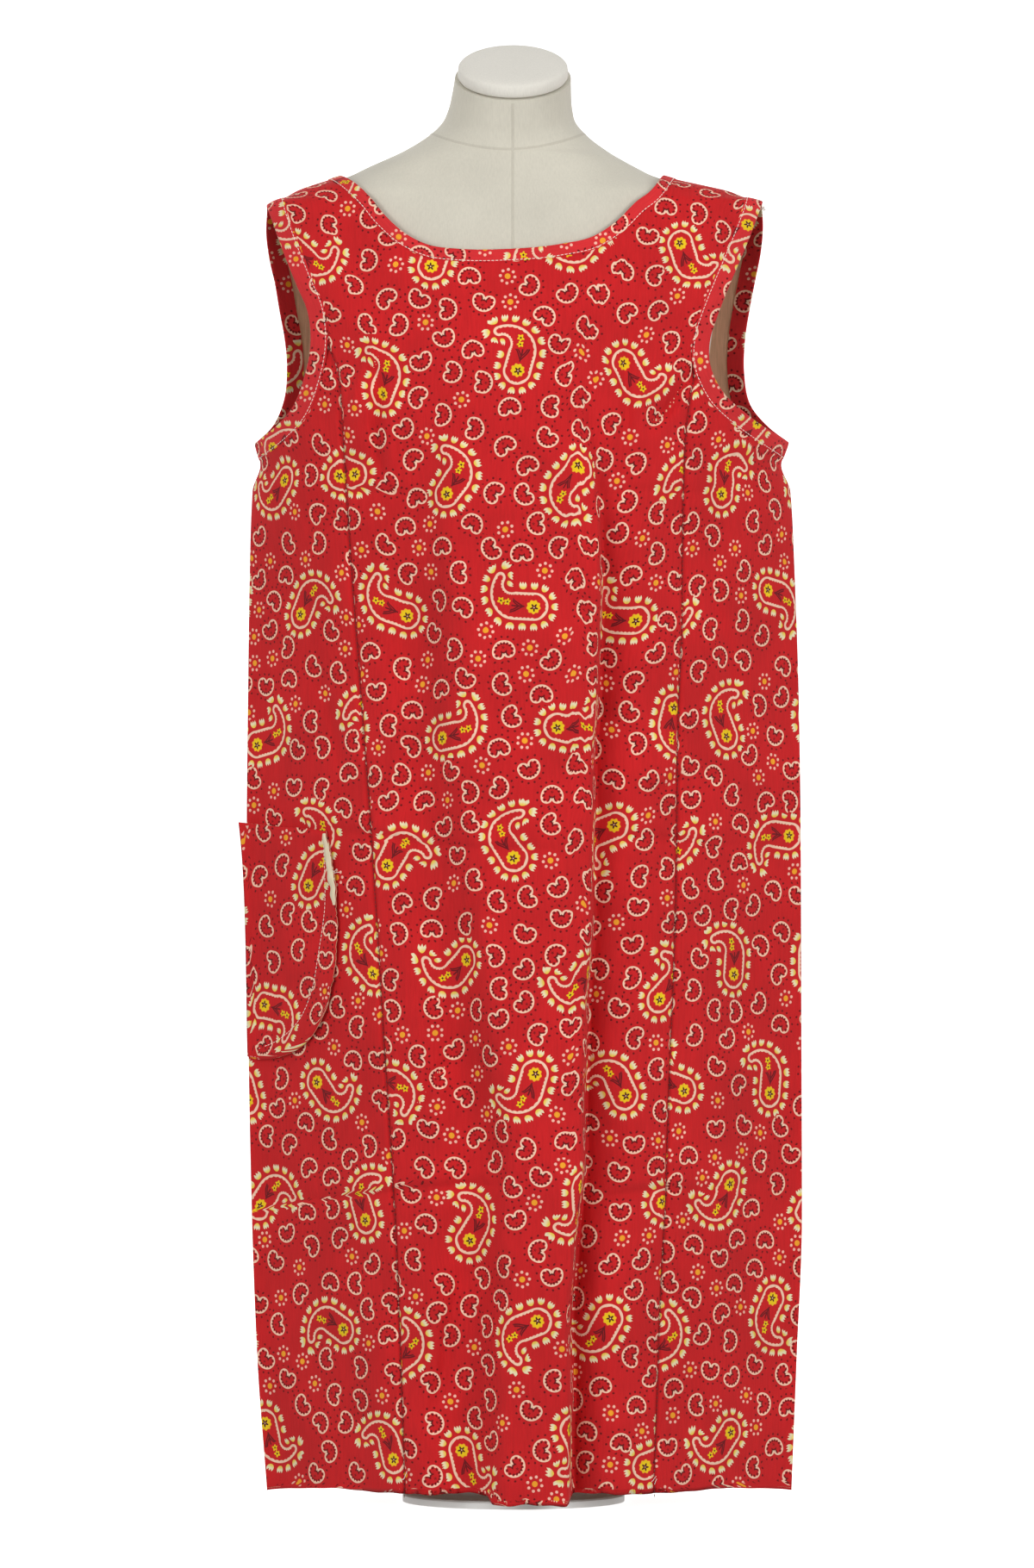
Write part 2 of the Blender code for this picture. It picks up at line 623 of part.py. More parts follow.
def back_panel():
    edges = []
    for sign, rows, into in ((-1, ARMHOLE_LEFT_BACK, -1), (1, ARMHOLE_RIGHT_BACK, 1)):
        arm = armhole_lines(rows, into)[2]
        arm = pick(arm, climb(arm, 0, BACK_ARM_STEPS))
        edges.append(np.concatenate([side_line(sign, skirt_heights(arm[0, 1]))[:-1], arm]))
    left, right = edges
    bottom = hem_line(left[0, 0], right[0, 0], BACK_COLUMNS, 1)
    top = top_line(NECKLINE_BACK, left[-1, 0], right[-1, 0], BACK_COLUMNS)
    high = rise_share(left, 1, len(SKIRT_ROWS) - 1)
    plan = patch(left, right, bottom, top, BACK_COLUMNS, fall_share(left, 6), high)
    return dressed(wall_mesh("back", *wall_rows(plan, 1)), "printed_cloth")


def band_rows(edge, inner, side, columns):
    across = np.linspace(0, 1, columns)[None, :, None]
    plan = edge[:, None, :] * (1 - across) + inner[:, None, :] * across
    lift = BAND_WALL - WALL
    return wall_rows(plan, side, BAND_WALL, lift)


def on_ridge_row(front, back):
    """The row on the ridge, shared by the front's and the back's end."""
    row = (front[-1] + back[-1]) / 2
    row[:, 1] = 0.0
    return row[None]


def armhole_band(name, front_rows, back_rows, seam_rows, into):
    """Up the front from the underarm, over the shoulder and down the back."""
    pieces = []
    for rows, side in ((front_rows, -1), (back_rows, 1)):
        edge, inner, panel = armhole_lines(rows, into)
        shares = climb(panel, 0, BACK_ARM_STEPS)
        if side < 0:
            share = seam_share(seam_rows, panel)
            below = np.linspace(0, share, SIDE_COLUMNS)
            shares = np.concatenate([below, climb(panel, share, ARM_STEPS)[1:]])
        pieces.append(band_rows(pick(edge, shares), pick(inner, shares), side, 4))
    walls = []
    for front, back in zip(*pieces):
        walls.append(np.concatenate([front[:-1], on_ridge_row(front, back), back[:-1][::-1]]))
    return dressed(wall_mesh(name, *walls), "printed_cloth")


def neck_band():
    """A ring: down and up round the front's neckline, then back round the back's."""
    pieces = []
    for rows, side, across in ((NECKLINE_FRONT, -1, CENTRE_COLUMNS), (NECKLINE_BACK, 1, BACK_COLUMNS)):
        edge, inner, _ = neck_lines(rows)
        shares = neck_shares(across)
        pieces.append(band_rows(pick(edge, shares), pick(inner, shares), side, 4))
    walls = []
    for front, back in zip(*pieces):
        left = on_ridge_row(front[:1], back[:1])
        right = on_ridge_row(front, back)
        walls.append(np.concatenate([left, front[1:-1], right, back[1:-1][::-1]]))
    return dressed(wall_mesh("neck_band", *walls, closed=True), "printed_cloth")


def pocket():
    """A patch pocket over the front side panel, its mouth gaping a little past the side."""
    rows = 11
    share = np.linspace(0, 1, rows)
    bend = 0.62
    right_line = along(POCKET_RIGHT[::-1], np.linspace(0, 1, 60))
    corner = int(len(right_line) * (1 - bend))
    across = np.linspace(0, 1, 9)
    bottom = along(right_line[: corner + 1], across)
    heights = np.array([POCKET_BOTTOM + (POCKET_TOP - POCKET_BOTTOM) * s for s in share])
    left = side_line(-1, heights)
    left[0] = bottom[0]
    left[:, 0] -= 0.0026 * share**3
    right = along(right_line[corner:], share)
    top = left[-1] * (1 - across[:, None]) + right[-1] * across[:, None]
    plan = patch(left, right, bottom, top, across, 1 - share, share)
    gape = POCKET_GAPE * (share[:, None] ** 6) * (1 - across[None, :]) ** 0.8
    lift = POCKET_GAP + POCKET_WALL + gape
    outer, inner = wall_rows(plan, -1, POCKET_WALL, lift)
    return dressed(wall_mesh("pocket", outer, inner), "printed_cloth")


def ring(middle, half, tilt, steps, roundness=2.0):
    """A ring of points in a plane that leans forward about its middle."""
    turn = np.linspace(0, 2 * math.pi, steps, endpoint=False)
    c, s = np.cos(turn), np.sin(turn)
    half_x = np.where(c < 0, half[0], half[1])
    half_y = np.where(s < 0, half[2], half[3])
    x = half_x * np.sign(c) * np.abs(c) ** (2 / roundness)
    y = half_y * np.sign(s) * np.abs(s) ** (2 / roundness)
    tilt = math.radians(tilt)
    return np.stack(
        [middle[0] + x, middle[1] + y * math.cos(tilt), middle[2] + y * math.sin(tilt)], axis=-1
    )


def lofted(name, rings):
    steps = len(rings[0])
    points = np.concatenate(rings)
    faces = []
    for r in range(len(rings) - 1):
        for c in range(steps):
            d = (c + 1) % steps
            faces.append((r * steps + c, r * steps + d, (r + 1) * steps + d, (r + 1) * steps + c))
    faces.append(tuple(range(steps)))
    faces.append(tuple((len(rings) - 1) * steps + c for c in range(steps)))
    return closed_object(name, points, faces)


FORM_STEPS = 44


def torso():
    rings = [
        ring((0, 0, z), (left, right, front, back), 0, FORM_STEPS, ROUNDNESS)
        for z, left, right, front, back in FORM_SECTIONS
    ]
    rings += [
        ring((x, y, z), (wide, wide, deep, deep), tilt, FORM_STEPS, 2.05)
        for z, x, y, wide, deep, tilt in NECK_RINGS
    ]
    return dressed(lofted("form_torso", rings), "form_cover")


def neck_cap():
    """A padded oval lid on the neck's sloping top."""
    profile = (
        # share of the half width, height over the lid's underside
        (0.93, 0.0000), (0.985, 0.0020), (1.0, 0.0050), (0.985, 0.0080), (0.93, 0.0102),
        (0.80, 0.0116), (0.55, 0.0123), (0.25, 0.0125),
    )
    tilt = math.degrees(CAP_TILT)
    up = np.array([0.0, -math.sin(CAP_TILT), math.cos(CAP_TILT)])
    rings = []
    for share, height in profile:
        middle = np.array(CAP_CENTRE) + up * (height + CAP_GAP)
        half = (CAP_HALF[0] * share, CAP_HALF[0] * share, CAP_HALF[1] * share, CAP_HALF[1] * share)
        rings.append(ring(middle, half, tilt, 28))
    return dressed(lofted("neck_cap", rings), "form_cover")


def pole():
    top, bottom = FORM_BOTTOM - SEAM_GAP, PLATE_THICK + SEAM_GAP
    half = (POLE_RADIUS,) * 4
    rings = [ring((0, 0, z), half, 0, 24) for z in (bottom, top)]
    return dressed(lofted("form_pole", rings), "painted_steel")


def base_plate():
    edge = 0.0012
    levels = ((0.0, PLATE_RADIUS), (PLATE_THICK - edge, PLATE_RADIUS), (PLATE_THICK, PLATE_RADIUS - edge))
    rings = [ring((0, 0, z), (radius,) * 4, 0, 56) for z, radius in levels]
    return dressed(lofted("form_base", rings), "painted_steel")


def main():
    clear_scene()
    torso()
    neck_cap()
    pole()
    base_plate()
    centre_panel()
    side_panel("front_side_left", -1, PRINCESS_LEFT, ARMHOLE_LEFT_FRONT, -1)
    side_panel("front_side_right", 1, PRINCESS_RIGHT, ARMHOLE_RIGHT_FRONT, 1)
    back_panel()
    armhole_band("armhole_band_left", ARMHOLE_LEFT_FRONT, ARMHOLE_LEFT_BACK, PRINCESS_LEFT, -1)
    armhole_band("armhole_band_right", ARMHOLE_RIGHT_FRONT, ARMHOLE_RIGHT_BACK, PRINCESS_RIGHT, 1)
    neck_band()
    pocket()


main()
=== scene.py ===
# %% [markdown]
# # A printed paper-cloth shift dress on a dress form
# The real thing is a sleeveless dress of thin non-woven cloth, printed all over with paisleys and
# pulled over a limbless form. The CAD model gives the size, so this script loads it first as a fixed
# frame. Everything below is in metres, with x to the right, y to the back and z up.

# %% Load the frame
import math
from functools import partial

import bpy
import numpy as np
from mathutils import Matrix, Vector
from mathutils.bvhtree import BVHTree


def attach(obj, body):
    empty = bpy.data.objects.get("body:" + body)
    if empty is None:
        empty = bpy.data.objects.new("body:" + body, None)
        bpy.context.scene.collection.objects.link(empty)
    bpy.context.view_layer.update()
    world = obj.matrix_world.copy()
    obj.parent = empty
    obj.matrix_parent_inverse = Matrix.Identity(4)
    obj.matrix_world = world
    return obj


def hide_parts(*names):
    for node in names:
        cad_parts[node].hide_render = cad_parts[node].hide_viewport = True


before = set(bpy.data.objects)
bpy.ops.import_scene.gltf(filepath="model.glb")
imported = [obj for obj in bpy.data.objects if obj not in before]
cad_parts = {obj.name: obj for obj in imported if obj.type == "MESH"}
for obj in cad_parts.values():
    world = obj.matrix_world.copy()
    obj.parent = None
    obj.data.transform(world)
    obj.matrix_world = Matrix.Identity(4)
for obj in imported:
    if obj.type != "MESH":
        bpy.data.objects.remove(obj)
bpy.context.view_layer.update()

# %% [markdown]
# ## Colours and nodes
# Colours are given as sRGB hex values, but a shader works with linear light. One function turns
# the first into the second. A second one adds a node, sets it and links it, and it returns the
# node's first output, so that calls nest the way a formula does.

# %% Colour and node helpers
def linear(hex_code):
    """An sRGB hex colour as linear red, green, blue and alpha."""
    channels = [int(hex_code[i:i + 2], 16) / 255 for i in (1, 3, 5)]
    turned = [c / 12.92 if c <= 0.04045 else ((c + 0.055) / 1.055) ** 2.4 for c in channels]
    return (*turned, 1.0)


def add(tree, kind, *inputs, named=None, **settings):
    """A new shader node. Inputs are values or sockets in order, None leaves one as it is.

    A kind such as "Math:ADD" sets the operation too.
    """
    kind, _, operation = kind.partition(":")
    node = tree.nodes.new("ShaderNode" + kind)
    if operation:
        node.operation = operation
    for name, value in settings.items():
        setattr(node, name, value)
    in_use = [socket for socket in node.inputs if socket.enabled]
    pairs = [(in_use[i], value) for i, value in enumerate(inputs) if value is not None]
    pairs += [(node.inputs[name], value) for name, value in (named or {}).items()]
    for socket, value in pairs:
        if isinstance(value, bpy.types.NodeSocket):
            tree.links.new(value, socket)
        else:
            socket.default_value = value
    return next(socket for socket in node.outputs if socket.enabled)


def blank_material(name):
    """A material with only a Principled shader and its output. Returns the material and shader."""
    made = bpy.data.materials.new(name)
    made.use_nodes = True
    return made, made.node_tree.nodes["Principled BSDF"]


def set_values(shader, values):
    """Sets a shader's own inputs to even values."""
    for name, value in values.items():
        shader.inputs[name].default_value = value


print("red ground in linear light", [round(c, 3) for c in linear("#C8202B")])

# %% [markdown]
# ## Camera
# The picture was taken square from the front with a long lens, a little above the hips' height. The
# whole dress has to stand upright and undistorted, so the camera stays 7.2 m away and the lens is
# worked out from the height of the picture at the dress's middle plane.

# %% Camera
PICTURE_HEIGHT = 1.2012
CAMERA_DISTANCE = 7.2
CAMERA_HEIGHT = 0.59
AIM_HEIGHT = 0.5492
MIDDLE_X = 0.0026
SENSOR = 36.0


def placed(name, data):
    """A new object in the scene that shows the given data."""
    made = bpy.data.objects.new(name, data)
    bpy.context.scene.collection.objects.link(made)
    return made


camera_data = bpy.data.cameras.new("camera")
camera_data.sensor_fit = "VERTICAL"
camera_data.sensor_height = SENSOR
camera_data.lens = SENSOR * CAMERA_DISTANCE / PICTURE_HEIGHT
camera = placed("camera", camera_data)
camera.location = (MIDDLE_X, -CAMERA_DISTANCE, CAMERA_HEIGHT)
aim = np.array([MIDDLE_X, 0.0, AIM_HEIGHT]) - np.array(camera.location)
camera.rotation_euler = (math.pi / 2 + math.atan2(aim[2], -camera.location.y), 0.0, 0.0)
bpy.context.scene.camera = camera
print("lens", round(camera_data.lens, 1), "mm")

# %% [markdown]
# ## Floor and light
# A pale studio. The floor runs on into white walls far away, which are lit for themselves, so the
# dress stands before white as in a catalogue, and neither throws light back on the dress. One soft
# light from the right and front draws the long folds, a weaker one from the left and a broad one
# overhead even it out, and one at the rear lights the back. Colours are shown as they are mixed,
# without a film look, because a printed red is easily washed out.

# %% Floor, walls, surround and lights
ROOM_HALF = 13.0
ROOM_HIGH = 14.0
FLOOR_GLOW = 0.92
WALL_GLOW = 0.98
SURROUND = 0.42
LIGHTS = (
    # name, place, what it points at, width, height, watts
    ("key", (2.1, -2.5, 1.15), (0.0, 0.0, 0.5), 1.1, 1.5, 45.0),
    ("overhead", (0.0, -0.8, 3.4), (0.0, 0.0, 0.4), 3.0, 2.0, 19.0),
    ("fill", (-2.2, -2.5, 1.05), (0.0, 0.0, 0.5), 1.1, 1.5, 38.0),
    ("rear", (-0.8, 3.2, 1.6), (0.0, 0.0, 0.6), 1.6, 1.6, 30.0),
)

scene = bpy.context.scene
scene.view_settings.view_transform = "Standard"
scene.view_settings.look = "None"


def studio_sheet(name, corners, faces, glow):
    """A sheet of white paper that glows a little, and throws no light back on the dress."""
    mesh = bpy.data.meshes.new(name)
    mesh.from_pydata(corners, [], faces)
    made = placed(name, mesh)
    finish, shader = blank_material(name + "_paper")
    set_values(shader, {
        "Base Color": linear("#F3F2F0"), "Roughness": 0.95, "Specular IOR Level": 0.1,
        "Emission Color": linear("#FFFFFF"), "Emission Strength": glow,
    })
    mesh.materials.append(finish)
    made.visible_diffuse = False


room = [(x * ROOM_HALF, y * ROOM_HALF) for x, y in ((-1, -1), (1, -1), (1, 1), (-1, 1))]
low, high = [(x, y, 0.0) for x, y in room], [(x, y, ROOM_HIGH) for x, y in room]
walls = [(k, (k + 1) % 4, 4 + (k + 1) % 4, 4 + k) for k in range(4)]
studio_sheet("studio_floor", low, [(0, 1, 2, 3)], FLOOR_GLOW)
studio_sheet("studio_walls", low + high, walls, WALL_GLOW)

surround = bpy.data.worlds.new("pale_surround")
surround.use_nodes = True
background = surround.node_tree.nodes["Background"]
set_values(background, {"Color": linear("#FFFFFF"), "Strength": SURROUND})
scene.world = surround


def soft_light(name, place, target, width, height, watts):
    """A rectangle of light, turned towards its target."""
    data = bpy.data.lights.new(name, "AREA")
    data.shape = "RECTANGLE"
    data.size, data.size_y, data.energy = width, height, watts
    lamp = placed(name, data)
    lamp.location = place
    way = np.array(target) - np.array(place)
    tilt = math.atan2(math.hypot(way[0], way[1]), -way[2])
    lamp.rotation_euler = (tilt, 0.0, math.atan2(way[1], way[0]) - math.pi / 2)


for row in LIGHTS:
    soft_light(*row)

# %% [markdown]
# ## The dress's shape, as tables
# A dress on a form is one smooth surface that several panels cover, so the surface comes first. It
# could be sculpted, but rows of measured sizes at named heights keep the proportions exact and are
# easy to read: half widths left and right, depth in front and behind, and how round the side is.

# %% Sections of the dress and of the form
DRESS_SECTIONS = (
    # z, left, right, front, back, roundness of the side
    (0.0080, 0.1890, 0.2130, 0.1100, 0.0920, 1.35),
    (0.1100, 0.1965, 0.2170, 0.1130, 0.0950, 1.35),
    (0.2160, 0.2005, 0.2210, 0.1150, 0.0960, 1.35),
    (0.3740, 0.2035, 0.2205, 0.1140, 0.0970, 1.30),
    (0.5060, 0.2045, 0.2200, 0.1120, 0.0970, 1.25),
    (0.6120, 0.2035, 0.2185, 0.1100, 0.0930, 1.15),
    (0.7175, 0.2020, 0.2150, 0.1120, 0.0900, 0.98),
    (0.7735, 0.2000, 0.2120, 0.1140, 0.0890, 0.80),
    (0.7935, 0.1940, 0.2050, 0.1150, 0.0890, 0.74),
    (0.8100, 0.1980, 0.2105, 0.1150, 0.0900, 0.70),
    (0.8300, 0.1985, 0.2080, 0.1145, 0.0905, 0.66),
    (0.8700, 0.1960, 0.2010, 0.1100, 0.0920, 0.56),
    (0.9100, 0.1955, 0.1980, 0.1025, 0.0915, 0.48),
    (0.9500, 0.1960, 0.1975, 0.0925, 0.0870, 0.4545),
    (0.9750, 0.1950, 0.1965, 0.0855, 0.0820, 0.4545),
    (0.9870, 0.1925, 0.1955, 0.0820, 0.0790, 0.4545),
    (0.9935, 0.1870, 0.1930, 0.0805, 0.0775, 0.4545),
)
FORM_SECTIONS = (
    # z, left, right, front, back
    (0.330, 0.1380, 0.1380, 0.0760, 0.0760),
    (0.345, 0.1440, 0.1440, 0.0800, 0.0810),
    (0.420, 0.1520, 0.1520, 0.0860, 0.0880),
    (0.480, 0.1510, 0.1510, 0.0880, 0.0880),
    (0.540, 0.1420, 0.1420, 0.0850, 0.0820),
    (0.600, 0.1290, 0.1290, 0.0810, 0.0720),
    (0.650, 0.1220, 0.1220, 0.0830, 0.0670),
    (0.700, 0.1300, 0.1300, 0.0930, 0.0700),
    (0.750, 0.1430, 0.1430, 0.1060, 0.0770),
    (0.790, 0.1460, 0.1460, 0.1110, 0.0830),
    (0.830, 0.1470, 0.1470, 0.1090, 0.0870),
    (0.870, 0.1490, 0.1490, 0.1050, 0.0890),
    (0.910, 0.1550, 0.1550, 0.0980, 0.0880),
    (0.940, 0.1640, 0.1640, 0.0910, 0.0850),
    (0.965, 0.1740, 0.1740, 0.0840, 0.0800),
    (0.982, 0.1785, 0.1795, 0.0790, 0.0760),
    (0.9905, 0.1765, 0.1785, 0.0770, 0.0740),
    (0.9960, 0.1730, 0.1745, 0.0755, 0.0725),
    (0.9995, 0.1670, 0.1660, 0.0745, 0.0710),
    (1.0025, 0.1600, 0.1540, 0.0735, 0.0700),
    (1.0055, 0.1510, 0.1400, 0.0720, 0.0680),
    (1.0080, 0.1430, 0.1285, 0.0710, 0.0670),
    (1.0110, 0.1340, 0.1170, 0.0700, 0.0655),
    (1.0145, 0.1250, 0.1065, 0.0690, 0.0640),
    (1.0210, 0.1115, 0.0935, 0.0675, 0.0610),
    (1.0277, 0.0964, 0.0812, 0.0660, 0.0580),
)
SHOULDER_RISE = 0.0026
SHOULDER_EASE = 0.0010
CHEST_EASE = 0.0030
ARM_TIP = 0.9872
ROUNDNESS = 2.2
SEAM_HALF = 0.0002


def cubic(xs, ys, slopes, at):
    """A cubic through the rows with the given slopes, held level past both ends."""
    at = np.clip(at, xs[0], xs[-1])
    step = np.diff(xs)
    i = np.clip(np.searchsorted(xs, at, side="right") - 1, 0, len(xs) - 2)
    t = (at - xs[i]) / step[i]
    return (
        ys[i] * (1 + 2 * t) * (1 - t) ** 2
        + slopes[i] * step[i] * t * (1 - t) ** 2
        + ys[i + 1] * t * t * (3 - 2 * t)
        + slopes[i + 1] * step[i] * t * t * (t - 1)
    )


def smooth_column(xs, ys, at):
    """A cubic through the rows that never overshoots them."""
    xs, ys = np.asarray(xs, float), np.asarray(ys, float)
    run = np.diff(ys) / np.diff(xs)
    before, after = run[:-1], run[1:]
    inner = np.where(before * after > 0, 2 * before * after / (before + after + 1e-30), 0)
    return cubic(xs, ys, np.concatenate([run[:1], inner, run[-1:]]), at)


def smooth_line(xs, ys, at):
    """A cubic through the rows with averaged slopes."""
    xs, ys = np.asarray(xs, float), np.asarray(ys, float)
    return cubic(xs, ys, np.gradient(ys, xs), at)


def column(table, index):
    return [row[index] for row in table]


def at_height(table, index, z):
    return smooth_column(column(table, 0), column(table, index), z)


def with_shoulders(sections):
    """The dress's sections, and above them the form's shoulders moved out."""
    last = sections[-1]
    above = [
        (z + SHOULDER_RISE, left + SHOULDER_EASE, right + SHOULDER_EASE,
         front + CHEST_EASE, back + CHEST_EASE, last[5])
        for z, left, right, front, back in FORM_SECTIONS
        if z + SHOULDER_RISE > last[0] + SHOULDER_EASE
    ]
    return sections + tuple(above)


DRESS = with_shoulders(DRESS_SECTIONS)
print("dress sections", len(DRESS), "from hem to ridge", DRESS[0][0], DRESS[-1][0])

# %% [markdown]
# ## Folds and creases
# The front's middle stands forward as one long fold. Its right edge drops sharply into a valley, and
# its left side slopes down to a wide hollow. Smaller creases run from the bust, and two pressed ones
# cross the skirt where it was folded in its packet. A cloth simulation would put them where it
# likes, so each is drawn as a soft groove or ridge along a line, and a low ripple of many waves
# makes the sheet papery between them.

# %% Folds of the front and the back
FOLD_EDGES = (
    # z, left edge, right edge, how far it stands forward, share of the valley's and hollow's depth
    (0.0200, -0.0179, 0.0425, 0.0150, 1.00),
    (0.1500, -0.0134, 0.0440, 0.0150, 1.00),
    (0.2700, -0.0115, 0.0525, 0.0140, 0.95),
    (0.3700, -0.0230, 0.0560, 0.0125, 0.85),
    (0.5000, -0.0422, 0.0602, 0.0115, 0.60),
    (0.6250, -0.0560, 0.0634, 0.0125, 0.72),
    (0.7000, -0.0560, 0.0655, 0.0122, 0.52),
    (0.7400, -0.0560, 0.0665, 0.0120, 0.29),
    (0.7910, -0.0552, 0.0601, 0.0070, 0.10),
    (0.8360, -0.0549, 0.0537, 0.0020, 0.02),
    (0.8800, -0.0549, 0.0530, 0.0000, 0.00),
    (1.0500, -0.0549, 0.0530, 0.0000, 0.00),
)
RIPPLE_WAVES = 26
FOLD_SOFT_LEFT = 0.0085
FOLD_SOFT_RIGHT = 0.0013
VALLEY = 0.0260
VALLEY_RUN = 0.0150
HOLLOW = 0.0130
HOLLOW_HALF = 0.0210
CREASE_STRENGTH = 2.3
FOLD_FADE = 0.7
DENTS = (
    # x, z, half width, half height, turn in degrees, depth
    (-0.088, 0.770, 0.0200, 0.0550, 0, -0.0050),
    (-0.106, 0.852, 0.0060, 0.0350, -25, 0.0040),
    (0.112, 0.835, 0.0070, 0.0400, 40, -0.0035),
    (0.160, 0.300, 0.0300, 0.2200, 0, 0.0030),
    (-0.120, 0.130, 0.0280, 0.1200, 4, -0.0030),
    (0.115, 0.120, 0.0240, 0.1300, -3, -0.0030),
    (0.020, 0.860, 0.0300, 0.0450, 10, 0.0012),
)
CREASES = (
    # x, z at the start, x, z at the end, half width, depth
    (-0.202, 0.526, -0.063, 0.503, 0.0030, -0.0013),
    (-0.063, 0.503, 0.030, 0.500, 0.0030, -0.0006),
    (0.075, 0.510, 0.215, 0.500, 0.0030, -0.0013),
    (-0.198, 0.229, -0.011, 0.249, 0.0032, -0.0014),
    (0.069, 0.239, 0.215, 0.246, 0.0032, -0.0014),
    (-0.190, 0.772, -0.060, 0.768, 0.0035, -0.0008),
    (0.070, 0.770, 0.200, 0.774, 0.0035, -0.0008),
    (-0.103, 0.889, -0.123, 0.836, 0.0035, 0.0022),
    (-0.104, 0.869, -0.102, 0.783, 0.0042, -0.0026),
    (0.138, 0.863, 0.102, 0.817, 0.0040, -0.0026),
    (0.088, 0.902, 0.083, 0.810, 0.0045, -0.0018),
    (0.102, 0.543, 0.131, 0.556, 0.0035, -0.0018),
    (-0.050, 0.341, -0.077, 0.302, 0.0040, -0.0018),
    (0.003, 0.539, -0.037, 0.440, 0.0045, -0.0014),
    (-0.150, 0.640, -0.128, 0.560, 0.0050, -0.0014),
    (0.150, 0.700, 0.172, 0.610, 0.0055, -0.0016),
    (0.190, 0.440, 0.165, 0.350, 0.0050, -0.0014),
    (-0.040, 0.180, -0.060, 0.070, 0.0050, -0.0016),
)
BACK_FOLDS = (
    # x, half width, height at the hem, and the height z where it dies out
    (-0.100, 0.0220, 0.0070, 0.640),
    (-0.020, 0.0260, 0.0060, 0.700),
    (0.085, 0.0240, 0.0075, 0.620),
)
BACK_CREASES = (
    # x, z at the start, x, z at the end, half width, depth
    (-0.195, 0.512, 0.205, 0.505, 0.0030, -0.0012),
    (-0.190, 0.240, 0.210, 0.238, 0.0030, -0.0012),
    (-0.150, 0.840, -0.090, 0.780, 0.0045, -0.0018),
    (0.150, 0.845, 0.085, 0.790, 0.0045, -0.0018),
    (-0.040, 0.700, 0.030, 0.660, 0.0050, -0.0014),
)


def soft_step(x, at, width):
    """From 0 to 1 past a place, softened over a width."""
    return 0.5 + 0.5 * np.tanh((x - at) / width)


def along_creases(x, z, table):
    """Soft grooves along straight lines, fading out towards both ends."""
    out = np.zeros_like(x * z)
    for x0, z0, x1, z1, half, depth in table:
        run = np.array([x1 - x0, z1 - z0])
        length = np.linalg.norm(run)
        run = run / length
        lengthwise = ((x - x0) * run[0] + (z - z0) * run[1]) / length
        aside = -(x - x0) * run[1] + (z - z0) * run[0]
        aside = aside + 0.0012 * np.sin(lengthwise * 9 + x0 * 40)
        fade = 1 / (1 + np.exp(-(lengthwise - 0.04) / 0.05))
        fade = fade / (1 + np.exp((lengthwise - 0.96) / 0.05))
        lifted = 0.35 * np.exp(-((aside - 2.2 * half) / (1.6 * half)) ** 2)
        out = out + CREASE_STRENGTH * depth * fade * (np.exp(-((aside / half) ** 2)) - lifted)
    return out


def ripples(x, z, seed):
    """A papery unevenness: many small waves of 18 to 90 mm, calmer at the shoulders."""
    draw = np.random.default_rng(seed)
    out = np.zeros_like(x * z)
    for _ in range(RIPPLE_WAVES):
        wave = draw.uniform(0.018, 0.090)
        lean = draw.normal(0.0, 0.45)
        phase = draw.uniform(0, 2 * math.pi)
        height = 0.00022 * (wave / 0.05)
        way = x * math.cos(lean) + z * math.sin(lean)
        out = out + height * np.sin(2 * math.pi * way / wave + phase)
    return out * np.clip((1.02 - z) / 0.1, 0.15, 1)


def front_fold(x, z):
    """How far the front stands out: the long fold, its valley and hollow, dents and creases."""
    left, right = at_height(FOLD_EDGES, 1, z), at_height(FOLD_EDGES, 2, z)
    rise = at_height(FOLD_EDGES, 3, z)
    wander = 0.0016 * np.sin(z * 31.0) + 0.0010 * np.sin(z * 73.0 + 1.0)
    beyond = soft_step(x, right + 0.6 * wander, FOLD_SOFT_RIGHT)
    ridge = soft_step(x, left + wander, FOLD_SOFT_LEFT) - beyond
    past = np.maximum(x - right - 0.6 * wander, 0)
    valley = np.exp(-past / VALLEY_RUN) * beyond
    hollow = np.exp(-(((x - left + HOLLOW_HALF) / HOLLOW_HALF) ** 2))
    out = rise * ridge - at_height(FOLD_EDGES, 4, z) * (VALLEY * valley + HOLLOW * hollow)
    for middle_x, middle_z, wide, high, turn, depth in DENTS:
        angle = math.radians(turn)
        across = (x - middle_x) * math.cos(angle) + (z - middle_z) * math.sin(angle)
        up = (z - middle_z) * math.cos(angle) - (x - middle_x) * math.sin(angle)
        out = out + depth * np.exp(-((across / wide) ** 2) - (up / high) ** 2)
    return out + along_creases(x, z, CREASES) + ripples(x, z, 5)


def back_fold(x, z):
    """How far the back stands out: three folds that die out upwards, and the creases."""
    out = np.zeros_like(x * z)
    for middle, wide, height, top in BACK_FOLDS:
        fade = np.clip((top - z) / top, 0, 1)
        out = out + height * fade * np.exp(-(((x - middle * (0.8 + 0.2 * fade)) / wide) ** 2))
    return out + along_creases(x, z, BACK_CREASES) + ripples(x, z, 9)


def fold_at(x, z, side):
    return front_fold(x, z) if side < 0 else back_fold(x, z)


print("creases drawn", len(CREASES) + len(BACK_CREASES))

# %% [markdown]
# ## The dress's outer face
# The face is a height field seen from the front or the back: for every x and z it gives the depth.
# Its slope tells which way is outwards, so that a second layer, a band or a stitch can sit at a
# chosen distance from it, also where the cloth turns over the shoulder.

# %% Points on the face
SLOPE_STEP = 0.0003


def half_width(x, z):
    return np.where(x < 0, at_height(DRESS, 1, z), at_height(DRESS, 2, z))


def depth_at(x, z, side):
    """The face's distance from the plane y = 0. Side is -1 in front and +1 behind."""
    reach = np.clip(np.abs(x) / half_width(x, z), 0, 1) ** ROUNDNESS
    body = at_height(DRESS, 3 if side < 0 else 4, z) * (1 - reach) ** at_height(DRESS, 5, z)
    return SEAM_HALF + body + fold_at(x, z, side) * (1 - reach) ** FOLD_FADE


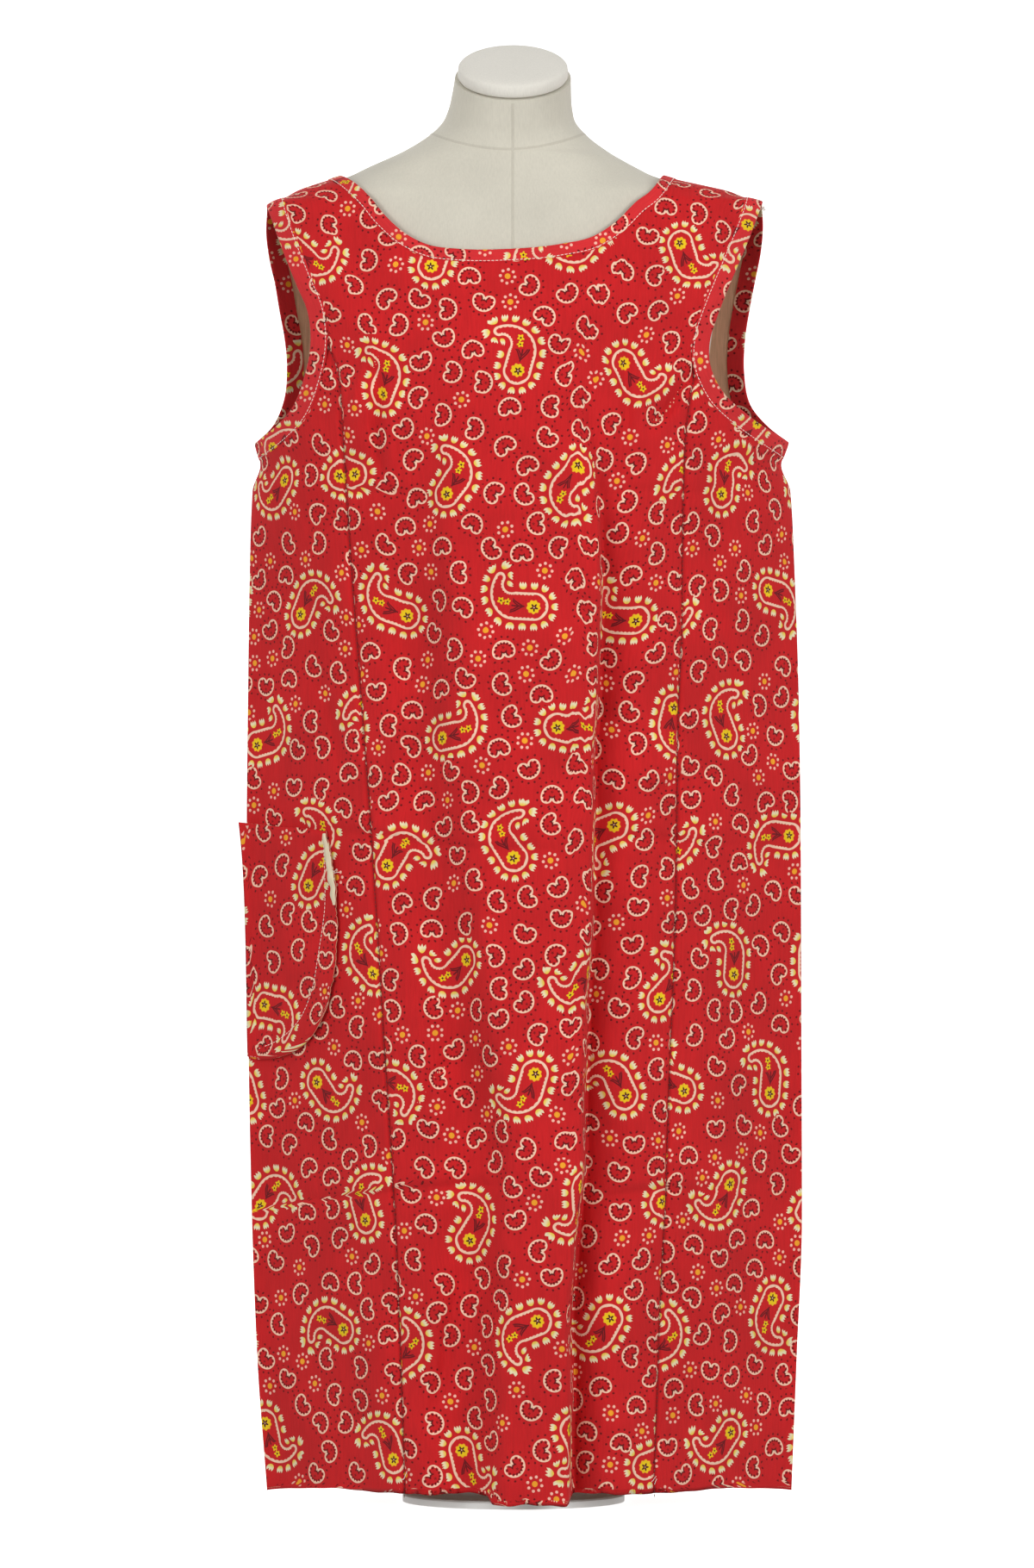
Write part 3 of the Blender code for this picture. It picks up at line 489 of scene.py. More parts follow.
def outside_value(x, y, z, side):
    """Grows outwards through the face, so that its slope there is the way out."""
    reach = (np.abs(x) / half_width(x, z)) ** ROUNDNESS
    fold = fold_at(x, z, side) * np.clip(1 - reach, 0, 1) ** FOLD_FADE
    rest = np.clip(side * y - SEAM_HALF - fold, 0, None)
    return reach + (rest / at_height(DRESS, 3 if side < 0 else 4, z)) ** (1 / at_height(DRESS, 5, z))


def unit(vectors):
    return vectors / np.linalg.norm(vectors, axis=-1, keepdims=True)


def outward(x, y, z, side):
    """The way out of the face, from the slope of the value above."""
    slopes = []
    for step in np.eye(3) * SLOPE_STEP:
        ahead = outside_value(x + step[0], y + step[1], z + step[2], side)
        behind = outside_value(x - step[0], y - step[1], z - step[2], side)
        slopes.append(ahead - behind)
    slope = np.stack(slopes, axis=-1)
    slope[..., 1] = side * np.maximum(side * slope[..., 1], 1e-9)
    return unit(slope)


def on_face(plan, side, out=0.0):
    """Points of the face behind points of the front view, moved out by a distance."""
    x, z = plan[..., 0], plan[..., 1]
    y = side * depth_at(x, z, side)
    out = np.asarray(out)
    out = out[..., None] if out.ndim else out
    return np.stack([x, y, z], axis=-1) + outward(x, y, z, side) * out


print("chest stands at y", round(-float(depth_at(np.array(0.0), np.array(0.83), -1)), 4))

# %% [markdown]
# ## Seams and edges
# A pattern cutter draws the pieces flat: two long seams part the front in three, and the armholes
# and the neckline are curves. They are kept here as points of the front view, x and height.

# %% Pattern lines
PRINCESS_LEFT = (
    # x, z, from the hem up to the armhole
    (-0.0834, 0.0250), (-0.0868, 0.1330), (-0.0913, 0.2370), (-0.0997, 0.3660),
    (-0.1075, 0.4950), (-0.1171, 0.6250), (-0.1264, 0.7540), (-0.1307, 0.8250),
    (-0.1330, 0.8580), (-0.1440, 0.8860),
)
PRINCESS_RIGHT = (
    # x, z, from the hem up to the armhole
    (0.1074, 0.0250), (0.1127, 0.1720), (0.1159, 0.2370), (0.1191, 0.3340),
    (0.1240, 0.4700), (0.1256, 0.5990), (0.1286, 0.6770), (0.1290, 0.7540),
    (0.1312, 0.8150), (0.1350, 0.8450), (0.1400, 0.8700),
)
ARMHOLE_LEFT_FRONT = (
    # x, z, from the underarm up; the last row is on the shoulder's ridge
    (-0.1980, 0.8100), (-0.1846, 0.8190), (-0.1690, 0.8342), (-0.1590, 0.8580),
    (-0.1540, 0.8850), (-0.1562, 0.9076), (-0.1650, 0.9290), (-0.1762, 0.9570),
    (-0.1830, 0.9760), (-0.1890, 0.9880),
)
ARMHOLE_RIGHT_FRONT = (
    # x, z, from the underarm up; the last row is on the shoulder's ridge
    (0.2105, 0.8110), (0.1935, 0.8200), (0.1756, 0.8318), (0.1580, 0.8480),
    (0.1485, 0.8700), (0.1492, 0.8880), (0.1540, 0.9030), (0.1650, 0.9309),
    (0.1761, 0.9570), (0.1840, 0.9770), (0.1905, 0.9930),
)
ARMHOLE_LEFT_BACK = (
    # x, z, from the underarm up; the last row is on the shoulder's ridge
    (-0.1980, 0.8100), (-0.1850, 0.8240), (-0.1770, 0.8430), (-0.1745, 0.8700),
    (-0.1765, 0.8932), (-0.1800, 0.9120), (-0.1835, 0.9332), (-0.1880, 0.9540),
    (-0.1900, 0.9720), (-0.1890, 0.9880),
)
ARMHOLE_RIGHT_BACK = (
    # x, z, from the underarm up; the last row is on the shoulder's ridge
    (0.2105, 0.8110), (0.1950, 0.8240), (0.1825, 0.8400), (0.1775, 0.8660),
    (0.1782, 0.8906), (0.1822, 0.9170), (0.1862, 0.9380), (0.1900, 0.9580),
    (0.1915, 0.9770), (0.1905, 0.9930),
)
NECKLINE_FRONT = (
    # x, z, from the left ridge down and up to the right ridge
    (-0.1324, 1.0135), (-0.1218, 1.0075), (-0.1100, 0.9960), (-0.0970, 0.9800),
    (-0.0814, 0.9660), (-0.0640, 0.9575), (-0.0425, 0.9545), (0.0000, 0.9545),
    (0.0350, 0.9580), (0.0600, 0.9640), (0.0770, 0.9750), (0.0937, 0.9915),
    (0.1038, 0.9995), (0.1145, 1.0115),
)
NECKLINE_BACK = (
    # x, z, from the left ridge down and up to the right ridge
    (-0.1324, 1.0135), (-0.1180, 1.0060), (-0.0950, 0.9955), (-0.0500, 0.9880),
    (0.0000, 0.9865), (0.0450, 0.9885), (0.0850, 0.9965), (0.1020, 1.0050), (0.1145, 1.0115),
)
HEM_HEIGHT = 0.0080
FRONT_HEM_RISE = 0.0092
FOLD_HANGS = 0.0070
FOLD_CORNER = 0.0015
BACK_HEM_RISE = 0.0100
HEM_CURVE = 0.8
ARMHOLE_BAND = 0.0130
NECK_BAND = 0.0095
TUCKED_UNDER = 0.0020
FINE = 400


def distance_along(line):
    steps = np.linalg.norm(np.diff(line, axis=0), axis=1)
    return np.concatenate([[0], np.cumsum(steps)])


def along(rows, parts):
    """Points at the given shares of the length of a smooth line through the rows."""
    rows = np.asarray(rows, float)
    length = distance_along(rows)
    at = np.asarray(parts) * length[-1]
    return np.stack([smooth_line(length, rows[:, k], at) for k in range(rows.shape[1])], axis=-1)


def on_ridge(x):
    """The point of the shoulder's ridge at x, where the front meets the back."""
    high = np.linspace(ARM_TIP, DRESS[-1][0], FINE)
    wide = at_height(DRESS, 1 if x < 0 else 2, high)
    return np.array([x, float(np.interp(-abs(x), -wide, high))])


def side_line(sign, heights):
    return np.stack([at_height(DRESS, 1 if sign < 0 else 2, heights) * sign, heights], axis=-1)


def edge_line(rows, ridge_ends=(False, True)):
    """An edge of the cloth in the front view, with its ends put on the shoulder's ridge."""
    rows = [np.array(row) for row in rows]
    if ridge_ends[0]:
        rows[0] = on_ridge(rows[0][0])
    if ridge_ends[1]:
        rows[-1] = on_ridge(rows[-1][0])
    return along(rows, np.linspace(0, 1, FINE))


def moved_in(line, width, into, ridge_ends=(False, True), fade=0.012):
    """A line beside an edge, towards the cloth. Its ends on the ridge stay on the ridge."""
    run = unit(np.gradient(line, axis=0))
    moved = line + np.stack([-run[:, 1], run[:, 0]], axis=-1) * into * width
    length = distance_along(line)
    for end, at_end in ((0, ridge_ends[0]), (-1, ridge_ends[1])):
        if at_end:
            near = np.exp(-((np.abs(length - length[end]) / fade) ** 2))[:, None]
            target = on_ridge(line[end, 0] + width * np.sign(moved[end, 0] - line[end, 0]))
            moved = moved + near * (target - moved[end])
    if not ridge_ends[0]:
        near = np.exp(-((length / fade) ** 2))[:, None]
        target = side_line(np.sign(line[0, 0]), np.array([line[0, 1] - width]))[0]
        moved = moved + near * (target - moved[0])
    return moved


def pick(line, shares):
    """Points of a line at shares of its own count, so that lines side by side stay in step."""
    own = np.linspace(0, 1, len(line))
    return np.stack([np.interp(shares, own, line[:, k]) for k in (0, 1)], axis=-1)


def hem_line(x_left, x_right, across, side):
    """The hem rises from the sides to the middle, and the front's long fold hangs below it."""
    x = x_left + (x_right - x_left) * np.asarray(across)
    share = np.clip(np.abs(x) / half_width(x, np.full_like(x, HEM_HEIGHT)), 0, 1)
    rise = FRONT_HEM_RISE if side < 0 else BACK_HEM_RISE
    uneven = 0.0007 * np.sin(x * 130) + 0.0005 * np.sin(x * 310 + side)
    height = HEM_HEIGHT + rise * (1 - share**2) ** HEM_CURVE + uneven * (1 - share)
    if side < 0:
        fold_left, fold_right = FOLD_EDGES[0][1:3]
        in_fold = soft_step(x, fold_left, FOLD_CORNER) - soft_step(x, fold_right, FOLD_CORNER)
        height = height - FOLD_HANGS * in_fold
    return np.stack([x, height], axis=-1)


def climb(arm, start, steps):
    """Shares of an armhole line whose heights crowd towards the ridge, where the cloth turns over."""
    own = np.linspace(0, 1, len(arm))
    low = np.interp(start, own, arm[:, 1])
    heights = low + (arm[-1, 1] - low) * (1 - (1 - np.array(steps)) ** 2)
    above = own >= start
    shares = np.interp(heights, arm[above, 1], own[above])
    shares[0] = start
    return shares


print("front neckline is", round(NECKLINE_FRONT[-1][0] - NECKLINE_FRONT[0][0], 3), "m wide")

# %% [markdown]
# ## The cloth's print: the big paisley
# The cloth is printed flat, cut and sewn, so the print has to bend with every fold. Each panel keeps
# the flat cloth's own measures, and the pattern is drawn from them in millimetres. A paisley is a
# drop whose tail curls over. Its spine here runs straight up for 14 mm and then round a 14 mm arc. A
# point is told by how far it runs along that spine and how far it lies across, and the drop's half
# width shrinks along the run. That gives one distance for the whole curled outline. The layout
# needs only a rough one and takes it from balls along the spine.

# %% Paisley outline
SPINE_STRAIGHT = 14.0
SPINE_RADIUS = 14.0
SPINE_TURN = 2.15
SPINE_LENGTH = SPINE_STRAIGHT + SPINE_RADIUS * SPINE_TURN
DROP_HALF = 10.6
TAIL_HALF = 3.9
NARROWS = (14.0, 44.0)
PAISLEY_MIDDLE = (-8.0, 13.0)


def paisley_distance(x, y):
    """The distance from the drop's outline in mm: the least over balls set along its spine."""
    nearest = np.full(np.shape(x), 1e9)
    for run in np.linspace(0, SPINE_LENGTH, 24):
        turn = max(run - SPINE_STRAIGHT, 0) / SPINE_RADIUS
        spine_x = SPINE_RADIUS * (math.cos(turn) - 1)
        spine_y = min(run, SPINE_STRAIGHT) + SPINE_RADIUS * math.sin(turn)
        share = np.clip((run - NARROWS[0]) / (NARROWS[1] - NARROWS[0]), 0, 1)
        half = DROP_HALF + (TAIL_HALF - DROP_HALF) * share**2 * (3 - 2 * share)
        nearest = np.minimum(nearest, np.hypot(x - spine_x, y - spine_y) - half)
    return nearest


def length_of(tree, x, y):
    return add(tree, "VectorMath:LENGTH", add(tree, "CombineXYZ", x, y))


def paisley_lines(tree, x, y):
    """The exact distance as nodes, with the run along the spine and the way across it."""
    put = partial(add, tree)
    aside = put("Math:ADD", x, SPINE_RADIUS)
    over = put("Math:SUBTRACT", y, SPINE_STRAIGHT)
    above = put("Math:MAXIMUM", over, 0.0)
    in_bend = put("Math:GREATER_THAN", over, 0.0)
    turn = put("Math:MULTIPLY", put("Math:ARCTAN2", above, aside), in_bend)
    reach = put("Math:MULTIPLY", put("Math:SUBTRACT", length_of(tree, aside, above), aside), in_bend)
    across = put("Math:ADD", x, reach)
    run = put("Math:MULTIPLY_ADD", turn, SPINE_RADIUS, put("Math:MINIMUM", y, SPINE_STRAIGHT))
    past_end = put("Math:MAXIMUM", put("Math:SUBTRACT", run, SPINE_LENGTH), 0.0)
    beyond = put("Math:SUBTRACT", past_end, put("Math:MINIMUM", run, 0.0))
    half = put("MapRange", run, *NARROWS, DROP_HALF, TAIL_HALF, interpolation_type="SMOOTHSTEP")
    distance = put("Math:SUBTRACT", length_of(tree, beyond, across), half)
    return {"distance": distance, "run": run, "across": across, "turn": turn, "beyond": beyond}


print("paisley spine", round(SPINE_LENGTH, 1), "mm")

# %% [markdown]
# ## The layout of the print
# A printer's repeat scatters paisleys about 100 mm apart, each turned its own way, and fills the
# ground between them with beans and rosettes about 22 mm apart. The layout here is made the same
# way by throwing darts with a fixed seed: a motif stays if it is clear of those before it. Each face
# of a panel then belongs to its nearest motif, and its corners keep their place in that motif as
# UVs. That leaves no overlap and no hole, and the shader has to draw only one motif at a time.

# %% Layout
PAISLEY, BEAN, ROSETTE = 0, 1, 2
PAISLEY_STEP = (99.0, 92.0)
PAISLEY_STRAY = 17.0
KIND_SHIFT = 500.0
REACH = {PAISLEY: 9.0, BEAN: 12.0, ROSETTE: 8.0}
DART_STEP = 3.5
DART_MARGIN = 15
FAR_OFF = 1e9
BARE_PLACE = 60.0


def in_motif(motif, points):
    """Points of the flat cloth, in mm, as seen from a motif's own middle and turn."""
    kind, u, v, angle, hand = motif
    du, dv = points[..., 0] - u, points[..., 1] - v
    x = (du * math.cos(angle) - dv * math.sin(angle)) * hand
    y = du * math.sin(angle) + dv * math.cos(angle)
    if kind == PAISLEY:
        return x + PAISLEY_MIDDLE[0], y + PAISLEY_MIDDLE[1]
    return x, y


def lay_out(low, high, seed):
    """Motifs over a box of flat cloth in mm: kind, place, turn and hand."""
    draw = np.random.default_rng(seed)
    motifs = []
    rows = range(-1, int((high[1] - low[1]) / PAISLEY_STEP[1]) + 2)
    for row in rows:
        for place in range(-1, int((high[0] - low[0]) / PAISLEY_STEP[0]) + 2):
            u = low[0] + (place + 0.5 * (row % 2) + 0.3) * PAISLEY_STEP[0]
            v = low[1] + (row + 0.4) * PAISLEY_STEP[1]
            stray = draw.uniform(-0.5, 0.5, 2) * PAISLEY_STRAY
            turn = draw.uniform(0, 2 * math.pi)
            motifs.append((PAISLEY, u + stray[0], v + stray[1], turn, draw.choice((-1, 1))))
    sides = [np.arange(low[k] - DART_MARGIN, high[k] + DART_MARGIN, DART_STEP) for k in (0, 1)]
    grid = np.stack(np.meshgrid(*sides), axis=-1).reshape(-1, 2)
    grid = grid + draw.uniform(-DART_STEP / 2, DART_STEP / 2, grid.shape)
    draw.shuffle(grid)
    clear = np.full(len(grid), FAR_OFF)
    for motif in motifs:
        near = np.hypot(grid[:, 0] - motif[1], grid[:, 1] - motif[2]) < 75
        clear[near] = np.minimum(clear[near], paisley_distance(*in_motif(motif, grid[near])))
    gap = np.full(len(grid), FAR_OFF)
    passes = (
        # kind, least distance from a paisley, least distance from other small motifs
        (BEAN, 15.8, 22.8),
        (ROSETTE, 15.0, 18.6),
    )
    for kind, from_paisley, apart in passes:
        for i in np.flatnonzero(clear > from_paisley):
            if gap[i] >= apart:
                motifs.append((kind, grid[i, 0], grid[i, 1], draw.uniform(0, 2 * math.pi), 1))
                gap = np.minimum(gap, np.hypot(grid[:, 0] - grid[i, 0], grid[:, 1] - grid[i, 1]))
    return motifs


def motif_places(corners, motifs):
    """For faces' corners in flat mm: their places in the nearest motif, with the kind coded in x."""
    middles = corners.mean(axis=1)
    nearest = np.full(len(middles), FAR_OFF)
    places = np.full(corners.shape, BARE_PLACE)
    for motif in motifs:
        kind = motif[0]
        radius = 70 if kind == PAISLEY else 17
        near = np.flatnonzero(np.all(np.abs(middles - motif[1:3]) < radius, axis=1))
        x, y = in_motif(motif, middles[near])
        gap = (paisley_distance(x, y) if kind == PAISLEY else np.hypot(x, y)) - REACH[kind]
        closer = gap < nearest[near]
        near = near[closer]
        nearest[near] = gap[closer]
        x, y = in_motif(motif, corners[near])
        places[near] = np.stack([x + KIND_SHIFT * kind, y], axis=-1)
    return places


sample = lay_out((0, 0), (300, 300), 1)
counts = [sum(motif[0] == kind for motif in sample) for kind in (PAISLEY, BEAN, ROSETTE)]
print("paisleys, beans and rosettes over 0.3 x 0.3 m and its surroundings", counts)

# %% [markdown]
# ## Inks
# The outline of a paisley is a cream line with a scalloped inner edge. Outside it stands a fringe of
# small tulips, 8.8 mm apart: cream petals on a yellow cup. Inside lie a yellow flower with a dark
# star, a dark sprig, and two little flowers on the way to the tail. Each shape is a distance to a
# drawn edge, which becomes ink where it is below nothing.

# %% Inks and the paisley's drawing
RED_GROUND = "#C4191D"
CREAM_INK = "#EFC7AC"
PINK_INK = "#F0B7A4"
FLORET_INK = "#E6DAB4"
YELLOW_INK = "#E9C516"
ORANGE_INK = "#EDA028"
DARK_INK = "#520D14"
DOT_INK = "#5E060B"
INK_BLUR = 0.20
LINE_WIDE = 1.55
SCALLOP = 2.9
FLORET_PITCH = 8.8
FLORET_OUT = 5.3
OUTER_STEP = 26.0
INNER_STEP = 5.0
ROUND_END_STEP = -16.8
TIP_STEP = 8.7
INNER_GAP = (17.5, 36.5)
INNER_SHIFT = 1.2
PAST_BEND = 27.0
CUP_HALF = 2.75
PETAL_HALF = 0.92
CROWN_OUT = 2.6
SCALLOP_DEEP = 0.65
STEM_HALF = 0.60
SPRIG_MIDDLE = 12.4
SPRIG_HALF = 5.0
SPRIG_LEAVES = (
    # where a leaf leaves the stem, its slope
    (8.6, 0.60),
    (11.6, 0.66),
)


def painted(tree, under, mask, over):
    """Paint of one colour over another. The mask says where."""
    return add(tree, "Mix", mask, under, over, data_type="RGBA")


def inked(tree, under, distance, shown, over):
    """Ink where the distance is below nothing and the motif is shown, with a soft printed edge."""
    mask = add(tree, "MapRange", distance, INK_BLUR, -INK_BLUR, 0.0, 1.0, interpolation_type="SMOOTHSTEP")
    return painted(tree, under, add(tree, "Math:MULTIPLY", mask, shown), over)


def flower_shape(tree, x, y, middle, radius, wave, petals):
    """The distance from a round flower's edge."""
    put = partial(add, tree)
    x = put("Math:SUBTRACT", x, middle[0])
    y = put("Math:SUBTRACT", y, middle[1])
    angle = put("Math:MULTIPLY", put("Math:ARCTAN2", y, x), float(petals))
    edge = put("Math:MULTIPLY_ADD", put("Math:COSINE", angle), wave, radius)
    return put("Math:SUBTRACT", length_of(tree, x, y), edge)


def tulip_shape(tree, lines):
    """The distance from the nearest tulip's edge, and how far out in the tulip a point is."""
    put = partial(add, tree)
    outer = put("Math:GREATER_THAN", lines["across"], 0.0)
    inner = put("Math:SUBTRACT", 1.0, outer)
    step = put("Math:MULTIPLY_ADD", outer, OUTER_STEP - INNER_STEP, INNER_STEP)
    turned = put("Math:MULTIPLY", put("Math:MINIMUM", lines["turn"], SPINE_TURN), step)
    straight = put("Math:MINIMUM", put("Math:MAXIMUM", lines["run"], 0.0), SPINE_STRAIGHT)
    swing = put("Math:ARCTAN2", lines["beyond"], put("Math:ABSOLUTE", lines["across"]))
    at_start = put("Math:LESS_THAN", lines["run"], 0.0)
    swing_step = put("Math:MULTIPLY_ADD", at_start, ROUND_END_STEP - TIP_STEP, TIP_STEP)
    way = put("Math:MULTIPLY_ADD", swing, swing_step, put("Math:ADD", turned, straight))
    past_bend = put("Math:MULTIPLY", inner, put("Math:GREATER_THAN", lines["run"], PAST_BEND))
    way = put("Math:MULTIPLY_ADD", past_bend, INNER_SHIFT, way)
    aside = put("Math:WRAP", way, FLORET_PITCH / 2, -FLORET_PITCH / 2)
    out = put("Math:SUBTRACT", lines["distance"], FLORET_OUT)
    low = put("Math:MINIMUM", put("Math:ADD", out, 0.3), 0.0)
    cup = put("Math:SUBTRACT", length_of(tree, aside, low), CUP_HALF)
    petal = put("Math:ABSOLUTE", put("Math:WRAP", aside, PETAL_HALF, -PETAL_HALF))
    crown = put("Math:SUBTRACT", put("Math:MULTIPLY_ADD", petal, 2.0, out), CROWN_OUT)
    bend = put("Math:ABSOLUTE", put("Math:SUBTRACT", lines["run"], sum(INNER_GAP) / 2))
    in_bend = put("Math:SUBTRACT", (INNER_GAP[1] - INNER_GAP[0]) / 2, bend)
    in_bend = put("Math:MULTIPLY_ADD", outer, -50.0, in_bend)
    return put("Math:MAXIMUM", put("Math:MAXIMUM", cup, crown), in_bend), out


def paint_paisley(tree, ground, x, y, shown):
    """Tulips, scalloped line, sprig and flowers over the ground."""
    put = partial(add, tree)
    lines = paisley_lines(tree, x, y)
    run, across = lines["run"], lines["across"]
    tulip, out = tulip_shape(tree, lines)
    cup = put("MapRange", out, -2.6, 0.7, 1.0, 0.0, interpolation_type="SMOOTHSTEP")
    petals = painted(tree, linear(FLORET_INK), put("Math:MULTIPLY", cup, 0.85), linear(YELLOW_INK))
    paint = inked(tree, ground, tulip, shown, petals)

    swing = put("Math:ARCTAN2", lines["beyond"], put("Math:ABSOLUTE", across))
    way = put("Math:MULTIPLY_ADD", swing, 9.0, run)
    wave = put("Math:ABSOLUTE", put("Math:SINE", put("Math:MULTIPLY", way, math.pi / SCALLOP)))
    inner = put("Math:MULTIPLY_ADD", lines["distance"], -1.0, -LINE_WIDE)
    inner = put("Math:MULTIPLY_ADD", wave, -SCALLOP_DEEP, inner)
    line = put("Math:MAXIMUM", lines["distance"], inner)
    paint = inked(tree, paint, line, shown, linear(CREAM_INK))

    leaf = put("Math:ABSOLUTE", across)
    strokes = put("Math:SUBTRACT", leaf, STEM_HALF)
    for start, slope in SPRIG_LEAVES:
        rest = put("Math:MULTIPLY_ADD", put("Math:SUBTRACT", run, start), -slope, leaf)
        strokes = put("Math:MINIMUM", strokes, put("Math:SUBTRACT", put("Math:ABSOLUTE", rest), 0.65))
    reach = put("Math:ABSOLUTE", put("Math:SUBTRACT", run, SPRIG_MIDDLE))
    reach = put("Math:SUBTRACT", reach, SPRIG_HALF)
    sprig = put("Math:MAXIMUM", strokes, reach)
    paint = inked(tree, paint, sprig, put("Math:MULTIPLY", shown, 0.9), linear(DARK_INK))

    flowers = (
        # first measure, second measure, middle, radius, petals' depth, petals, ink
        (x, y, (0.3, 0.6), 5.1, 0.40, 9, ORANGE_INK),
        (x, y, (0.3, 0.6), 4.5, 0.45, 9, YELLOW_INK),
        (x, y, (0.7, 0.2), 2.2, 0.95, 5, DARK_INK),
        (x, y, (0.7, 0.2), 0.50, 0.0, 5, CREAM_INK),
        (run, across, (21.5, -1.4), 2.2, 0.60, 5, YELLOW_INK),
        (run, across, (26.0, 1.0), 2.2, 0.60, 5, YELLOW_INK),
        (run, across, (21.5, -1.4), 0.8, 0.15, 4, DARK_INK),
        (run, across, (26.0, 1.0), 0.8, 0.15, 4, DARK_INK),
    )
    for first, second, middle, radius, wave, petals, colour in flowers:
        shape = flower_shape(tree, first, second, middle, radius, wave, petals)
        paint = inked(tree, paint, shape, shown, linear(colour))
    return paint


print("inks", RED_GROUND, CREAM_INK, YELLOW_INK)

# %% [markdown]
# A bean is an arc drawn with a thick round brush, and a disc in it, so that its two lobes leave only
# a small notch. Its line has teeth on the inner side, with dark dots between them, and a ring of
# dots stands round it. A rosette is an orange disc in a ring of eight pale dots.

# %% Beans and rosettes
BEAN_ARC = 4.1
BEAN_HALF = 4.75
BEAN_END = math.radians(95)
BEAN_BACK = (2.5, 5.5)
BEAN_LINE = 1.15
BEAN_DROP = 1.8
TOOTH_HALF = 0.80
RING_OUT = 2.8
RING_DOTS = 13
ROSETTE_DOTS = 8
ROSETTE_RING = 5.5
ROSETTE_DOT = 1.15
ROSETTE_DISC = 2.2


def paint_bean(tree, ground, x, y, shown):
    """Dots inside and round a bean, and its toothed line."""
    put = partial(add, tree)
    y = put("Math:ADD", y, BEAN_DROP)
    angle = put("Math:ARCTAN2", x, y)
    held = put("Math:MINIMUM", put("Math:MAXIMUM", angle, -BEAN_END), BEAN_END)
    near_x = put("Math:MULTIPLY", put("Math:SINE", held), BEAN_ARC)
    near_y = put("Math:MULTIPLY", put("Math:COSINE", held), BEAN_ARC)
    off = length_of(tree, put("Math:SUBTRACT", x, near_x), put("Math:SUBTRACT", y, near_y))
    back = length_of(tree, x, put("Math:SUBTRACT", y, BEAN_BACK[0]))
    back = put("Math:SUBTRACT", back, BEAN_BACK[1])
    distance = put("Math:MINIMUM", put("Math:SUBTRACT", off, BEAN_HALF), back)

    from_middle = put("Math:SUBTRACT", y, 2.0)
    swing = put("Math:ARCTAN2", x, from_middle)
    spoke = length_of(tree, x, from_middle)
    gap = 2 * math.pi / RING_DOTS
    aside = put("Math:MULTIPLY", put("Math:WRAP", swing, gap / 2, -gap / 2), spoke)
    between = put("Math:WRAP", put("Math:ADD", swing, gap / 2), gap / 2, -gap / 2)
    ring = length_of(tree, aside, put("Math:SUBTRACT", distance, RING_OUT))
    inward = put("Math:ADD", distance, BEAN_LINE + 1.2)
    inside = length_of(tree, put("Math:MULTIPLY", between, spoke), inward)
    dots = put("Math:MINIMUM", put("Math:SUBTRACT", ring, 0.86), put("Math:SUBTRACT", inside, 0.85))
    dots = put("Math:MINIMUM", dots, flower_shape(tree, x, y, (0.0, 3.6), 0.75, 0.55, 5))
    paint = inked(tree, ground, dots, put("Math:MULTIPLY", shown, 0.95), linear(DOT_INK))

    tooth = put("Math:SUBTRACT", length_of(tree, aside, put("Math:ADD", distance, BEAN_LINE)), TOOTH_HALF)
    inner = put("Math:MULTIPLY_ADD", distance, -1.0, -BEAN_LINE)
    line = put("Math:MINIMUM", put("Math:MAXIMUM", distance, inner), tooth)
    return inked(tree, paint, line, shown, linear(CREAM_INK))


def paint_rosette(tree, ground, x, y, shown):
    """An orange disc in a ring of pale dots."""
    put = partial(add, tree)
    gap = 2 * math.pi / ROSETTE_DOTS
    spoke = length_of(tree, x, y)
    aside = put("Math:MULTIPLY", put("Math:WRAP", put("Math:ARCTAN2", x, y), gap / 2, -gap / 2), spoke)
    ring = length_of(tree, aside, put("Math:SUBTRACT", spoke, ROSETTE_RING))
    ring = put("Math:SUBTRACT", ring, ROSETTE_DOT)
    disc = put("Math:SUBTRACT", spoke, ROSETTE_DISC)
    paint = inked(tree, ground, ring, shown, linear(PINK_INK))
    return inked(tree, paint, disc, shown, linear(ORANGE_INK))


print("bean about", round(2 * (BEAN_ARC + BEAN_HALF), 1), "mm long")

# %% [markdown]
# ## Printed non-woven cloth
# The cloth is a bonded sheet of cellulose fibres, not woven, with fine upright crepe ribs about
# 1.8 mm apart. That gives the eye a dry, matt, slightly fuzzy red that catches light in soft upright
# streaks. The ribs are a noise stretched ten times along the length, and a second, finer noise
# stands for the fibres.

# %% Printed cloth material
def set_surface(shader, paint, relief, strength, distance, values):
    """Links a shader's colour and relief, and sets its other inputs to even values."""
    tree = shader.id_data
    tree.links.new(paint, shader.inputs["Base Color"])
    bump = add(tree, "Bump", named={"Strength": strength, "Distance": distance, "Height": relief})
    tree.links.new(bump, shader.inputs["Normal"])
    set_values(shader, values)


def shaded(tree, hex_code, shade):
    """One colour, lighter and darker with a measure."""
    return add(tree, "VectorMath:SCALE", linear(hex_code)[:3], named={"Scale": shade})


def crepe_ribs(tree, roughness):
    """The flat cloth's measures in mm, and its upright ribs."""
    put = partial(add, tree)
    flat = put("VectorMath:SCALE", put("UVMap", uv_map="flat_cloth"), named={"Scale": 1000.0})
    ribs = put(
        "TexNoise", put("VectorMath:MULTIPLY", flat, (1.0, 0.09, 0.0)), noise_dimensions="2D",
        named={"Scale": 1 / 1.8, "Detail": 2.0, "Roughness": roughness},
    )
    return flat, ribs


